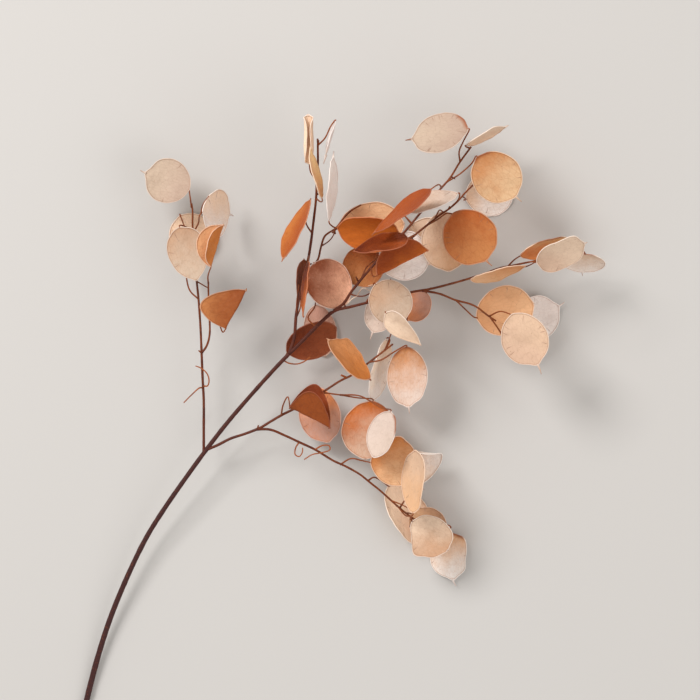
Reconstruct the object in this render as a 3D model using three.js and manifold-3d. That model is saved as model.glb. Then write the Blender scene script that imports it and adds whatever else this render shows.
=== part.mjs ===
// Honesty (Lunaria) seed pod stem, cut and lying on a flat surface, seen in plan from above.
// One branching stem is a single solid. Every papery pod is a thin disc of its own, held at its
// base by a stalk that grows out of the stem.

import * as THREE from 'three';
import { mergeVertices } from 'three/addons/utils/BufferGeometryUtils.js';
import Module from 'manifold-3d';

const wasm = await Module();
wasm.setup();

// ---------------------------------------------------------------- driving dimensions (mm)

// Places in the plan are [across, down, height]: across and down in steps of PLAN_STEP from the
// plan's top left corner, height in millimetres above the surface.
const PLAN_STEP = 0.8;
const PLAN_CENTRE = 350;

const POD_THICKNESS = 0.7;
const POD_SIDES = 24;
const POD_FULLNESS = 0.07;
// Rings between the edge and the middle, as shares of the disc: more of them where it is rolled up.
const PLAIN_RINGS = [0.55];
const ROLLED_RINGS = [0.8, 0.55, 0.28];
const ROLLED_FROM = 60;
const CUP_DEPTH = 1.2;
const LEVEL_SHARE = 0.5;
const FOLD_BEND = 2;
const STYLE_LENGTH = 7;
const STYLE_ROOT = 1.5;
const STYLE_TIP = 0.7;

const STALK_GIRTH = [1.5, 1.2];
const STALK_CLEARANCE = 0.35;
const STALK_LEAD = 1.5;
const STALK_SIDES = 5;
const TWIG_SIDES = 6;
const STEM_SIDES = 8;
const STEP_IN_GIRTHS = 4.5;
const LONGEST_STEP = 11;
const TENDRIL_GIRTH = [1.2, 0.9];
const WELD = 1e-4;

// The block of empty space that the lowest part of the stem is trimmed by.
const TRIM = { size: [200, 400, 10], at: [-200, -300, -5] };

// ---------------------------------------------------------------- colours

const CREAM = '#e4cdbc';
const WHITE = '#e8ddd7';
const PEACH = '#e1b991';
const TAN = '#cd9b73';
const ORANGE = '#c87337';
const RUST = '#964114';
const DARK = '#5f2819';
const PINK = '#be826e';
const BARK = '#5a3230';

const STEM_MATERIAL = new THREE.MeshStandardMaterial({ color: BARK, roughness: 0.55, metalness: 0 });

// ---------------------------------------------------------------- stem and twigs

// girth: diameter where the twig starts and where it ends. route: places along its middle line,
// the first one on the middle line of the twig that it grows from.
const TWIGS = [
  { name: 'main stem', girth: [5.2, 2.8], sides: STEM_SIDES, route: [
    [64, 792, 2.3], [75, 745, 2.4], [85, 700, 3.4], [97, 655, 6], [110, 616, 9], [129, 571, 13],
    [146, 537, 16], [163, 510, 19], [181, 484, 22], [205, 451, 25], [226, 424, 28], [250, 396, 32],
    [280, 363, 38], [303, 340, 42], [318, 325, 46], [332, 312, 49]] },
  { name: 'right branch', girth: [2.4, 1.5], sides: TWIG_SIDES, route: [
    [329, 314, 48.5], [337, 310, 50], [350, 307, 52], [370, 302, 54], [392, 297, 55], [412, 292, 55],
    [430, 289, 54], [450, 284, 53], [471, 278, 52], [486, 273, 51], [500, 268, 50], [515, 265, 49]] },
  { name: 'upper branch', girth: [2.3, 1.5], sides: TWIG_SIDES, route: [
    [334, 310.5, 49.5], [343, 304, 51], [352, 291, 53], [370, 269, 57], [388, 249, 59], [401, 236, 60],
    [418, 216, 60], [437, 193, 58], [450, 178, 56], [460, 162, 54], [471, 147, 52]] },
  { name: 'fan twig', girth: [1.9, 1.4], sides: TWIG_SIDES, route: [
    [392, 245, 59.3], [408, 240, 60], [420, 231, 61], [430, 223, 62], [440, 215, 62], [449, 209, 61],
    [457, 202, 58], [465, 193, 52], [473, 185, 46]] },
  { name: 'right low twig', girth: [1.9, 1.4], sides: TWIG_SIDES, route: [
    [422, 290.5, 54.4], [440, 294, 54.5], [455, 300, 55], [470, 304, 55], [478, 308, 55],
    [487, 315, 54], [496, 321, 53]] },
  { name: 'tall branch', girth: [2.6, 1.7], sides: TWIG_SIDES, route: [
    [289, 354, 39.8], [294, 338, 41], [296, 316, 42], [298.5, 300, 42], [302, 285, 42], [306.5, 268, 43],
    [310.5, 245, 48], [313.5, 222, 53], [316, 200, 57], [317, 180, 61], [318, 162, 64], [318, 145, 67],
    [318.5, 141, 68]] },
  { name: 'middle twig', girth: [1.8, 1.3], sides: TWIG_SIDES, route: [
    [306, 270, 42.9], [313, 266, 43], [318, 259, 45], [321, 247, 48], [325, 236, 51], [336, 228, 54],
    [343, 219, 56], [351, 211, 57], [361, 205, 57]] },
  { name: 'left branch', girth: [2.3, 1.5], sides: TWIG_SIDES, route: [
    [203, 454, 24.7], [203, 430, 25], [203, 400, 26], [202, 380, 27], [201, 355, 28], [200, 330, 29],
    [198, 300, 30], [196, 280, 30], [194, 250, 31], [192, 226, 32], [192, 210, 33], [191, 203, 34]] },
  { name: 'left side twig', girth: [1.8, 1.4], sides: TWIG_SIDES, route: [
    [201, 353, 28.1], [206, 346, 29], [209, 335, 30], [209, 318, 31], [208, 295, 33], [208, 282, 39]] },
  { name: 'low branch', girth: [2.4, 1.5], sides: TWIG_SIDES, route: [
    [206, 450, 25.2], [216, 446, 26], [230, 439, 27], [245, 434, 28], [260, 428, 29], [270, 422, 30],
    [282, 415, 31], [302, 405, 34], [326, 390, 38], [340, 381, 40], [352, 375, 42], [367, 364, 44],
    [380, 354, 46], [393, 344, 47]] },
  { name: 'bottom branch', girth: [2.1, 1.5], sides: TWIG_SIDES, route: [
    [256, 429.6, 28.7], [270, 430, 29], [285, 436, 29], [300, 443, 29], [315, 450, 29], [333, 461, 28],
    [346, 467, 28], [360, 475, 27], [370, 483, 26], [380, 491, 25], [390, 500, 24], [400, 509, 22],
    [414, 520, 20]] },
  { name: 'left tendril', girth: TENDRIL_GIRTH, sides: STALK_SIDES, route: [
    [202.2, 386, 26.9], [207, 386, 29.5], [208.5, 380, 31], [206, 373, 31.5], [200, 368, 31],
    [195, 366, 30]] },
  { name: 'left tendril end', girth: TENDRIL_GIRTH, sides: STALK_SIDES, route: [
    [202.4, 388, 26.7], [199, 388, 29], [192, 394, 29], [183, 403, 27]] },
  { name: 'bottom tendril', girth: TENDRIL_GIRTH, sides: STALK_SIDES, route: [
    [299, 442.6, 29], [295.5, 448, 30], [295, 455, 31], [299, 457, 31.5], [302, 453, 32],
    [302.5, 448, 32]] },
  { name: 'bottom curl', girth: TENDRIL_GIRTH, sides: STALK_SIDES, route: [
    [315, 450, 29], [322, 446, 31], [329, 446, 32.5], [330, 450, 33], [322, 453, 32.5], [312, 455, 31.5],
    [304, 460, 31]] },
  { name: 'low tendril', girth: TENDRIL_GIRTH, sides: STALK_SIDES, route: [
    [283, 360, 38.3], [288, 363, 37], [297, 364, 36], [305, 361, 36], [311, 356, 36]] },
];

// ---------------------------------------------------------------- pods

// at: the disc's middle. size: length from base to tip, and width. turn: heading of the tip in plan
// (0 to the right, 90 up the plan), rise of the tip, and roll about its own length, in degrees.
// curl: direction of the rolling axis, from the heading, and the angle rolled across the disc.
// fullness: how much wider the disc is towards its tip. style: length left of it, where it broke.
// fold: the angle that the right half turns under the left half, or over it where the angle is below
// zero, and the right half's width as a share of the left half's.
// stalk: places from the twig to the pod. rests: the pod is lowered until it touches the surface.
const PODS = [
  // left spray
  { name: 'left_tip', at: [168, 181, 38], size: [36, 37], turn: [160, 0, 8], curl: [0, 15],
    tint: CREAM, stalk: [[191, 207, 33.4]] },
  { name: 'left_front', at: [188, 253, 46], size: [43, 34], turn: [287, 0, 22], curl: [0, 15],
    tint: TAN, style: 1.5, fullness: -0.1, stalk: [[193, 236, 31.6], [188, 228, 36]] },
  { name: 'left_back', at: [190, 235, 12], size: [38, 38], turn: [298, 8, 6], curl: [0, 10],
    tint: CREAM, style: 1.5, rests: true, stalk: [
      [198, 299, 30], [189, 290, 26], [185, 270, 20], [187, 240, 14]] },
  { name: 'left_side', at: [216, 212.5, 34], size: [42, 39], turn: [-4, -61, 0], curl: [0, 15],
    tint: CREAM, stalk: [[193, 232, 31.8], [198, 223, 40], [200, 215, 54]] },
  { name: 'left_fold', at: [217.5, 246.5, 64], size: [34, 34], turn: [72, 0, 8], curl: [0, 2],
    tint: ORANGE, style: 1.5, fold: [-138, 0.8], stalk: [[208, 284, 38.2], [208, 276, 50]] },
  { name: 'left_low', at: [236, 311, 54], size: [37, 51], turn: [63, 0, 4], curl: [0, 2],
    tint: ORANGE, style: 1.5, fullness: -0.5, fold: [150, 0.35],
    stalk: [[208.8, 312, 31.5], [217, 318, 41], [222.5, 332, 46]] },

  // tall spray
  { name: 'tall_rolled', at: [308.8, 140.5, 72], size: [38, 20], turn: [91, 0, 0], curl: [0, 320],
    tint: CREAM, style: 1.5, stalk: [[316, 180, 60.6], [311, 173, 64]] },
  { name: 'tall_edge', at: [331, 139.5, 74], size: [28, 30], turn: [254, 0, 86], curl: [0, 8],
    tint: WHITE, stalk: [[318, 146, 66.8], [325, 139, 69], [331, 127, 72]] },
  { name: 'tall_front', at: [316, 175.5, 92], size: [39, 34], turn: [104, 0, 79], curl: [0, 15],
    tint: PEACH, style: 3, stalk: [[316.5, 199, 57.2], [320, 202, 68]] },
  { name: 'tall_slim', at: [331.5, 191, 80], size: [48, 34], turn: [87, 0, 78], curl: [0, 10],
    tint: CREAM, fullness: 0.35, stalk: [[336, 228, 54], [333, 227, 64]] },
  { name: 'tall_left', at: [297.5, 229.5, 70], size: [50, 38], turn: [244, 0, 72], curl: [0, 20],
    tint: ORANGE, style: 4, stalk: [[312.5, 234, 50.4], [306, 223, 52], [307, 208, 58]] },

  // middle spray
  { name: 'mid_arch', at: [371, 226, 50], size: [51, 39], turn: [4, 0, 6], curl: [0, 15],
    tint: PEACH, style: 1.5, stalk: [[333, 230.2, 53.1]] },
  { name: 'mid_orange', at: [368, 232.5, 76], size: [48, 40], turn: [353, 0, 45], curl: [0, 40],
    tint: ORANGE, style: 1.5, stalk: [[332, 231, 52.9], [333, 233, 62]] },
  { name: 'mid_cigar', at: [403, 212, 105], size: [54, 36], turn: [217, 0, 72], curl: [0, 20],
    tint: ORANGE, style: 5, fullness: -0.25, stalk: [[441.5, 188, 57.4], [438.5, 185.5, 76]] },
  { name: 'mid_dark', at: [381, 245.5, 100], size: [43, 36], turn: [192, 0, 66], curl: [0, 15],
    tint: DARK, style: 1.5, fullness: -0.35, stalk: [[413, 236.6, 60.4], [417, 234, 82]] },
  { name: 'mid_rust', at: [402, 264, 80], size: [44, 38], turn: [26, 0, 6], curl: [0, 2],
    tint: RUST, style: 1.5, fold: [140, 0.8], stalk: [[371, 268, 57.2], [372, 275, 66]] },
  { name: 'mid_white', at: [404, 256, 42], size: [41, 40], turn: [20, 0, 6], curl: [0, 10],
    tint: WHITE, style: 1.5, stalk: [[377, 260.5, 57.9], [374, 264, 48]] },
  { name: 'mid_brown', at: [364, 266, 34], size: [33, 34], turn: [235, 0, 8], curl: [0, 10],
    tint: ORANGE, style: 1.5, stalk: [[361, 280, 54.6], [366, 268, 52], [376, 258, 44]] },
  { name: 'mid_pink', at: [329, 284, 46], size: [42, 37], turn: [125, 0, 10], curl: [0, 15],
    tint: PINK, style: 1.5, stalk: [[344, 303, 51.3]] },
  { name: 'mid_shade', at: [302, 280, 30], size: [32, 32], turn: [85, 0, 70], curl: [0, 10],
    tint: DARK, style: 1.5, stalk: [[296, 318, 42], [300, 308, 36]] },
  { name: 'mid_strip', at: [306, 289, 70], size: [43, 36], turn: [264, 0, 84], curl: [0, 5],
    tint: ORANGE, style: 1.5, stalk: [[307, 261, 44], [309, 256, 56]] },
  { name: 'mid_low_back', at: [320, 330, 8], size: [41, 27], turn: [280, 0, 8], curl: [0, 10],
    tint: PINK, style: 1.5, rests: true, stalk: [[316, 327, 45.4], [308, 318, 36], [314, 308, 26]] },
  { name: 'mid_low_front', at: [311, 340, 26], size: [43, 38], turn: [27, 0, 42], curl: [0, 30],
    tint: DARK, style: 1.5, stalk: [[283, 360, 38.3], [284, 358, 34]] },

  // spray at the fork, over the right branch
  { name: 'fork_round', at: [390, 301.5, 66], size: [36, 35], turn: [310, 0, 8], curl: [0, 15],
    tint: CREAM, style: 1.5, stalk: [[366, 303, 53.6], [372, 292, 58]] },
  { name: 'fork_white', at: [383, 308.5, 44], size: [40, 27], turn: [246, 0, 20], curl: [0, 20],
    tint: WHITE, stalk: [[376, 300.5, 54.2], [380, 290, 50]] },
  { name: 'fork_leaf', at: [402.5, 328.5, 78], size: [36, 20], turn: [317, 0, 42], curl: [0, 25],
    tint: CREAM, fullness: -0.5, style: 2, stalk: [
      [398, 295.8, 55], [406, 312, 56], [406, 324, 62], [396, 320, 71]] },
  { name: 'fork_side', at: [417.5, 306, 40], size: [26, 23], turn: [236, 0, 10], curl: [0, 15],
    tint: PINK, style: 1.5, stalk: [[433, 288.5, 53.8], [430, 288.5, 47]] },

  // low branch
  { name: 'low_slim', at: [379.5, 370, 25], size: [50, 34], turn: [256, 0, -65], curl: [0, 15],
    tint: WHITE, stalk: [[384, 351, 46.4], [388, 345, 42], [390, 340, 36]] },
  { name: 'low_round', at: [408, 376, 40], size: [46, 34], turn: [272, 0, 12], curl: [0, 20],
    tint: CREAM, stalk: [[370, 362, 44.5], [381, 360, 46], [394, 352, 47]] },
  { name: 'low_tilted', at: [349, 360, 62], size: [44, 36], turn: [135, 0, 61], curl: [0, 20],
    tint: ORANGE, style: 3, stalk: [[362, 368, 43.2], [368, 378, 52]] },
  { name: 'low_fold', at: [309.5, 417.5, 48], size: [35, 48], turn: [333, 0, -8], curl: [0, 2],
    tint: RUST, style: 1.5, fullness: -0.45, fold: [-145, 0.85],
    stalk: [[281, 415.5, 30.9], [283, 405, 40], [288, 397, 50]] },
  { name: 'low_pink', at: [320, 414.5, 22], size: [45, 36], turn: [286, 0, 20], curl: [0, 20],
    tint: PINK, style: 1.5, stalk: [[322, 392.6, 37.4], [318, 388, 32]] },
  { name: 'low_amber', at: [369, 430, 32], size: [46, 44], turn: [262, 0, 8], curl: [0, 20],
    tint: ORANGE, style: 1.5, stalk: [[322, 392.6, 37.4], [340, 395, 38], [358, 398, 37]] },
  { name: 'low_pearl', at: [383, 433, 52], size: [36, 30], turn: [250, 0, 42], curl: [0, 20],
    tint: WHITE, style: 1.5, stalk: [[340, 395, 38], [360, 396, 44], [382, 408, 52]] },

  // bottom branch
  { name: 'bottom_tan', at: [394, 461.5, 34], size: [37, 42], turn: [5, 0, 20], curl: [0, 30],
    tint: ORANGE, style: 1.5, stalk: [[340, 465.2, 27.9], [351, 459, 31], [362, 461, 34]] },
  { name: 'bottom_peach', at: [414.5, 482, 54], size: [49, 36], turn: [87, 0, -60], curl: [0, 25],
    tint: PEACH, style: 1.5, stalk: [[398, 507.2, 22.4], [406, 516, 38]] },
  { name: 'bottom_corner', at: [421, 461, 16], size: [42, 35], turn: [270, -48, 0], curl: [90, 100],
    tint: CREAM, style: 3, fullness: -0.2, stalk: [[400, 509, 22], [415, 484, 26], [422, 462, 36]] },
  { name: 'bottom_long', at: [407, 516, 14], size: [54, 38], turn: [300, 0, -34], curl: [0, 75],
    tint: CREAM, style: 1.5, rests: true, stalk: [[368, 481.4, 26.2], [374, 478, 22]] },
  { name: 'bottom_shade', at: [428, 526, 13], size: [32, 29], turn: [325, 0, 4], curl: [0, 10],
    tint: TAN, style: 1.5, stalk: [[408, 515, 20.8], [408, 514, 14]] },
  { name: 'bottom_face', at: [430, 536, 34], size: [36, 34], turn: [320, 0, 12], curl: [0, 20],
    tint: CREAM, style: 1.5, stalk: [[412, 518.4, 20.3], [411, 520, 28]] },
  { name: 'bottom_tip', at: [450.5, 557, 20], size: [37, 33], turn: [278, 0, 14], curl: [0, 20],
    tint: CREAM, rests: true, stalk: [[414, 520, 20], [430, 523, 21], [450.5, 527, 19]] },

  // top right spray
  { name: 'top_pale', at: [440.5, 134, 58], size: [45, 43], turn: [190, -15, 42], curl: [0, 10],
    tint: CREAM, stalk: [[460, 162, 54], [459, 152, 55], [463, 142, 57]] },
  { name: 'top_slim', at: [485, 136, 56], size: [33, 30], turn: [26, 0, 78], curl: [0, 10],
    tint: TAN, style: 4, stalk: [[470, 148.5, 52.2]] },
  { name: 'top_tan', at: [496, 177, 64], size: [43, 40], turn: [314, 0, 8], curl: [0, 15],
    tint: PEACH, stalk: [[447, 182, 56.4], [460, 174, 57], [472, 163, 60]] },
  { name: 'top_white', at: [490.5, 192, 20], size: [38, 38], turn: [15, 0, 10], curl: [0, 10],
    tint: WHITE, style: 1.5, rests: true, stalk: [[462, 196.5, 54], [466, 198, 30]] },
  { name: 'top_long', at: [432, 203, 78], size: [42, 35], turn: [200, 0, 66], curl: [0, 15],
    tint: CREAM, style: 1.5, stalk: [[452, 206.5, 60], [458, 200, 68]] },

  // right spray
  { name: 'right_orange', at: [469, 237, 74], size: [45, 44], turn: [305, 0, 8], curl: [0, 15],
    tint: ORANGE, stalk: [[426, 226, 61.6], [437, 220, 66], [446, 214, 70]] },
  { name: 'right_peach', at: [446, 241, 48.5], size: [47, 40], turn: [275, 0, 10], curl: [0, 15],
    tint: PEACH, style: 1.5, stalk: [[434, 220, 62], [440, 210, 52]] },
  { name: 'right_pale', at: [430.5, 240, 32], size: [39, 39], turn: [320, 0, 10], curl: [0, 10],
    tint: WHITE, style: 1.5, stalk: [[411.5, 223.5, 60], [405, 216, 46]] },
  { name: 'right_slim', at: [497.5, 273, 60], size: [44, 34], turn: [13, 0, 76], curl: [0, 10],
    tint: TAN, style: 1.5, fullness: -0.2, stalk: [[464, 280, 52.2], [469, 279, 56]] },
  { name: 'right_edge', at: [545, 248, 50], size: [41, 36], turn: [17, 0, 65], curl: [0, 15],
    tint: ORANGE, style: 1.5, stalk: [[508, 266.4, 49.5], [514, 260, 49]] },
  { name: 'right_fold', at: [560, 254, 68], size: [40, 36], turn: [22, 0, 44], curl: [0, 20],
    tint: CREAM, style: 3, stalk: [[514, 265.2, 49], [530, 262, 60]] },
  { name: 'right_flat', at: [584.5, 261, 38], size: [36, 35], turn: [266, -64, 0], curl: [0, 15],
    tint: CREAM, stalk: [[515, 265, 49], [538, 260, 46], [562, 252, 44], [579, 247, 50]] },
  { name: 'right_amber', at: [505, 311, 42], size: [46, 41], turn: [14, 0, 8], curl: [0, 15],
    tint: PEACH, style: 1.5, stalk: [[456, 300.4, 55], [466, 310, 50], [474, 317, 45]] },
  { name: 'right_white', at: [537.5, 318, 28], size: [39, 36], turn: [28, 0, 10], curl: [0, 10],
    tint: WHITE, rests: true, stalk: [[490, 317, 53.7], [499, 330, 52], [507, 343, 44], [514, 344, 22]] },
  { name: 'right_front', at: [524, 338.5, 66], size: [43, 38], turn: [297, 0, 10], curl: [0, 15],
    tint: CREAM, style: 10, stalk: [[489, 316.3, 53.8], [500, 311.5, 60]] },
];

// ---------------------------------------------------------------- placing

// A place in the plan as a point in millimetres.
function onPlan([across, down, height]) {
  return new THREE.Vector3((across - PLAN_CENTRE) * PLAN_STEP, (PLAN_CENTRE - down) * PLAN_STEP, height);
}

// The pod's own axes: along its length, across it, and out of its face.
function podBasis([heading, rise, roll]) {
  const h = THREE.MathUtils.degToRad(heading);
  const p = THREE.MathUtils.degToRad(rise);
  const r = THREE.MathUtils.degToRad(roll);
  const along = new THREE.Vector3(Math.cos(h) * Math.cos(p), Math.sin(h) * Math.cos(p), Math.sin(p));
  const across = new THREE.Vector3(-Math.sin(h), Math.cos(h), 0);
  across.applyAxisAngle(along, r);
  const out = new THREE.Vector3().crossVectors(along, across);
  return new THREE.Matrix4().makeBasis(along, across, out);
}

// A point of the flat disc, lifted off its middle surface, on the curled and slightly cupped pod.
// A set share of the way out to its edge, the pod is level with its place. A folded pod isn't cupped.
function onPod(pod, x, y, lift) {
  const [axis, roll] = pod.curl.map((angle) => THREE.MathUtils.degToRad(angle));
  const [length, width] = pod.size;
  const curvature = roll / width;
  const along = x * Math.cos(axis) + y * Math.sin(axis);
  const across = -x * Math.sin(axis) + y * Math.cos(axis);
  const radius = Math.min(1, Math.hypot(2 * x / length, 2 * y / width));
  const cup = pod.fold ? 0 : CUP_DEPTH;
  const angle = curvature * across;
  const side = Math.sin(angle) / curvature - lift * Math.sin(angle);
  const rise = (Math.cos(LEVEL_SHARE * roll / 2) - Math.cos(angle)) / curvature + lift * Math.cos(angle);
  return folded(pod, new THREE.Vector3(
    along * Math.cos(axis) - side * Math.sin(axis),
    along * Math.sin(axis) + side * Math.cos(axis),
    rise + cup * (radius * radius - LEVEL_SHARE),
  ));
}

// The right half of a folded pod turns under or over the left half, round a narrow bend whose middle
// runs along the middle of the disc.
function folded(pod, point) {
  const past = FOLD_BEND / 2 - point.y;
  if (!pod.fold || past <= 0) {
    return point;
  }
  const radius = FOLD_BEND / THREE.MathUtils.degToRad(pod.fold[0]);
  const bent = Math.min(past, FOLD_BEND);
  const straight = past - bent;
  const slope = bent / radius;
  const out = (radius + point.z) * Math.sin(slope) + straight * Math.cos(slope);
  const height = (radius + point.z) * Math.cos(slope) - radius - straight * Math.sin(slope);
  return new THREE.Vector3(point.x, FOLD_BEND / 2 - out, height);
}

// ---------------------------------------------------------------- pod

// A point of the flat disc: a share of the way out from the middle, a turn from the tip.
function onDisc(pod, share, turn) {
  const [length, width] = pod.size;
  const fullness = 1 + (pod.fullness ?? POD_FULLNESS) * Math.cos(turn);
  const half = pod.fold && Math.sin(turn) < 0 ? pod.fold[1] : 1;
  return [(share * length / 2) * Math.cos(turn), (share * width / 2) * Math.sin(turn) * fullness * half];
}

// The disc's edge, from one side of the style round to the other, then the style's tip.
function podEdge(pod) {
  const root = pod.size[0] / 2;
  const tip = root + (pod.style ?? STYLE_LENGTH);
  const edge = [[root, STYLE_ROOT / 2]];
  for (let i = 1; i < POD_SIDES; i += 1) {
    edge.push(onDisc(pod, 1, (2 * Math.PI * i) / POD_SIDES));
  }
  edge.push([root, -STYLE_ROOT / 2], [tip, -STYLE_TIP / 2], [tip, STYLE_TIP / 2]);
  return edge;
}

// Triangles of one face: bands from the edge inwards, a fan in the middle, and the style.
function podFaces(edgeCount, ringSides, ringCount) {
  const onRing = (ring, i) => edgeCount + ring * ringSides + (i % ringSides);
  const middle = edgeCount + ringCount * ringSides;
  const faces = [
    [onRing(0, 0), POD_SIDES, 0],
    [POD_SIDES, POD_SIDES + 1, POD_SIDES + 2],
    [POD_SIDES, POD_SIDES + 2, 0],
  ];
  for (let i = 0; i < ringSides; i += 1) {
    faces.push([onRing(0, i), 2 * i, 2 * i + 1]);
    faces.push([onRing(0, i), 2 * i + 1, onRing(0, i + 1)]);
    faces.push([onRing(0, i + 1), 2 * i + 1, 2 * i + 2]);
    for (let ring = 1; ring < ringCount; ring += 1) {
      faces.push([onRing(ring, i), onRing(ring - 1, i), onRing(ring - 1, i + 1)]);
      faces.push([onRing(ring, i), onRing(ring - 1, i + 1), onRing(ring, i + 1)]);
    }
    faces.push([middle, onRing(ringCount - 1, i), onRing(ringCount - 1, i + 1)]);
  }
  return faces;
}

function podGeometry(pod) {
  const edge = podEdge(pod);
  const ringSides = POD_SIDES / 2;
  const rings = Math.abs(pod.curl[1]) < ROLLED_FROM ? PLAIN_RINGS : ROLLED_RINGS;
  const points = edge.slice();
  for (const share of rings) {
    for (let i = 0; i < ringSides; i += 1) {
      points.push(onDisc(pod, share, (2 * Math.PI * i) / ringSides));
    }
  }
  points.push([0, 0]);
  const faces = podFaces(edge.length, ringSides, rings.length);
  const positions = [];
  for (const lift of [POD_THICKNESS / 2, -POD_THICKNESS / 2]) {
    for (const [x, y] of points) {
      positions.push(...onPod(pod, x, y, lift).toArray());
    }
  }
  const under = points.length;
  const index = [];
  for (const [a, b, c] of faces) {
    index.push(a, b, c, under + a, under + c, under + b);
  }
  for (let i = 0; i < edge.length; i += 1) {
    const j = (i + 1) % edge.length;
    index.push(i, under + i, under + j, i, under + j, j);
  }
  const geometry = new THREE.BufferGeometry();
  geometry.setAttribute('position', new THREE.Float32BufferAttribute(positions, 3));
  geometry.setIndex(index);
  return geometry;
}

// How far the mesh reaches down, in the frame of the whole stem.
function lowestPoint(mesh) {
  mesh.updateMatrixWorld(true);
  return new THREE.Box3().setFromObject(mesh, true).min.z;
}

function podMesh(pod) {
  const material = new THREE.MeshStandardMaterial({ color: pod.tint, roughness: 0.75, metalness: 0 });
  const mesh = new THREE.Mesh(podGeometry(pod), material);
  mesh.name = pod.name;
  mesh.setRotationFromMatrix(podBasis(pod.turn));
  mesh.position.copy(onPlan(pod.at));
  if (pod.rests) {
    mesh.position.z -= lowestPoint(mesh);
  }
  mesh.updateMatrixWorld(true);
  return mesh;
}

// ---------------------------------------------------------------- stem

// A tapered tube along a smooth curve: an even extrusion whose rings are then drawn in.
function taperedTube(points, [startGirth, endGirth], sides) {
  const curve = new THREE.CatmullRomCurve3(points, false, 'centripetal');
  const longest = Math.min(LONGEST_STEP, STEP_IN_GIRTHS * startGirth);
  const steps = Math.max(2, Math.round(curve.getLength() / longest));
  const ring = new THREE.Shape();
  for (let i = 0; i < sides; i += 1) {
    const t = (2 * Math.PI * (i + 0.5)) / sides;
    const corner = [(startGirth / 2) * Math.cos(t), (startGirth / 2) * Math.sin(t)];
    if (i === 0) {
      ring.moveTo(...corner);
    } else {
      ring.lineTo(...corner);
    }
  }
  const tube = new THREE.ExtrudeGeometry(ring, { steps, extrudePath: curve, bevelEnabled: false });
  const middles = curve.getSpacedPoints(steps);
  const place = tube.getAttribute('position');
  const point = new THREE.Vector3();
  for (let i = 0; i < place.count; i += 1) {
    point.fromBufferAttribute(place, i);
    let nearest = 0;
    for (let s = 1; s <= steps; s += 1) {
      if (point.distanceToSquared(middles[s]) < point.distanceToSquared(middles[nearest])) {
        nearest = s;
      }
    }
    const share = THREE.MathUtils.lerp(1, endGirth / startGirth, nearest / steps);
    point.sub(middles[nearest]).multiplyScalar(share).add(middles[nearest]);
    place.setXYZ(i, point.x, point.y, point.z);
  }
  return tube;
}

function toSolid(geometry) {
  geometry.deleteAttribute('normal');
  geometry.deleteAttribute('uv');
  const merged = mergeVertices(geometry, WELD);
  return new wasm.Manifold(new wasm.Mesh({
    numProp: 3,
    vertProperties: merged.getAttribute('position').array,
    triVerts: new Uint32Array(merged.getIndex().array),
  }));
}

function toGeometry(solid) {
  const mesh = solid.getMesh();
  const geometry = new THREE.BufferGeometry();
  geometry.setAttribute('position', new THREE.BufferAttribute(mesh.vertProperties, 3));
  geometry.setIndex(new THREE.BufferAttribute(mesh.triVerts, 1));
  return geometry;
}

// A stalk runs from its twig to just short of the pod's base, and meets the pod along its length.
function stalkRoute(pod, mesh) {
  const half = pod.size[0] / 2;
  const end = mesh.localToWorld(onPod(pod, -half - STALK_CLEARANCE, 0, 0));
  const lead = mesh.localToWorld(onPod(pod, -half - STALK_LEAD, 0, 0));
  return [...pod.stalk.map(onPlan), lead, end];
}

// What lies under the surface is trimmed off, which leaves the stem a narrow flat to lie on.
function underSurface() {
  const block = new THREE.BoxGeometry(...TRIM.size);
  block.translate(...TRIM.at);
  return toSolid(block);
}

function stemMesh(podMeshes) {
  let solid = null;
  for (const twig of TWIGS) {
    const tube = toSolid(taperedTube(twig.route.map(onPlan), twig.girth, twig.sides));
    solid = solid === null ? tube : solid.add(tube);
  }
  PODS.forEach((pod, i) => {
    solid = solid.add(toSolid(taperedTube(stalkRoute(pod, podMeshes[i]), STALK_GIRTH, STALK_SIDES)));
  });
  solid = solid.subtract(underSurface());
  const mesh = new THREE.Mesh(toGeometry(solid), STEM_MATERIAL);
  mesh.name = 'stem';
  return mesh;
}

// ---------------------------------------------------------------- whole

const pods = PODS.map(podMesh);
const plant = new THREE.Group();
plant.add(stemMesh(pods), ...pods);
plant.updateMatrixWorld(true);

// The origin is on the surface, under the middle of the whole.
const reach = new THREE.Box3().setFromObject(plant, true);
const middle = reach.getCenter(new THREE.Vector3());
plant.position.set(-middle.x, -middle.y, -reach.min.z);

export default plant;
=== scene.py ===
"""Honesty seed pod stem: papery pods on a fine branching stem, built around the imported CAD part."""

import logging
import math
from dataclasses import dataclass, field
from enum import Enum

import bmesh
import bpy
from mathutils import Matrix, Vector, noise


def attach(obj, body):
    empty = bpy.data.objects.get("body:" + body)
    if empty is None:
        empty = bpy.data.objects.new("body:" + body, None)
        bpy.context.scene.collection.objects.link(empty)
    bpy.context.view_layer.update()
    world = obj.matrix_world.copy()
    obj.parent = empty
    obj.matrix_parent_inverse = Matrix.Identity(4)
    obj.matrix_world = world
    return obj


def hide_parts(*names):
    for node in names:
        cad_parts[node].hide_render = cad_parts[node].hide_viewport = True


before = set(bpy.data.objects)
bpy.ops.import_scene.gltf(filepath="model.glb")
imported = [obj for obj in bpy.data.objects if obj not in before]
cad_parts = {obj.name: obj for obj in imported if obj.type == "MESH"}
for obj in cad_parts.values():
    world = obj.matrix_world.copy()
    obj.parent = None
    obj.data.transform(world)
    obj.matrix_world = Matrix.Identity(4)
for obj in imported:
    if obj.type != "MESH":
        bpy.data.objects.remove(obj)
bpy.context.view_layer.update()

log = logging.getLogger("honesty")

Place = tuple[float, float, float]
Socket = bpy.types.NodeSocket
Mesh = bmesh.types.BMesh

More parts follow.
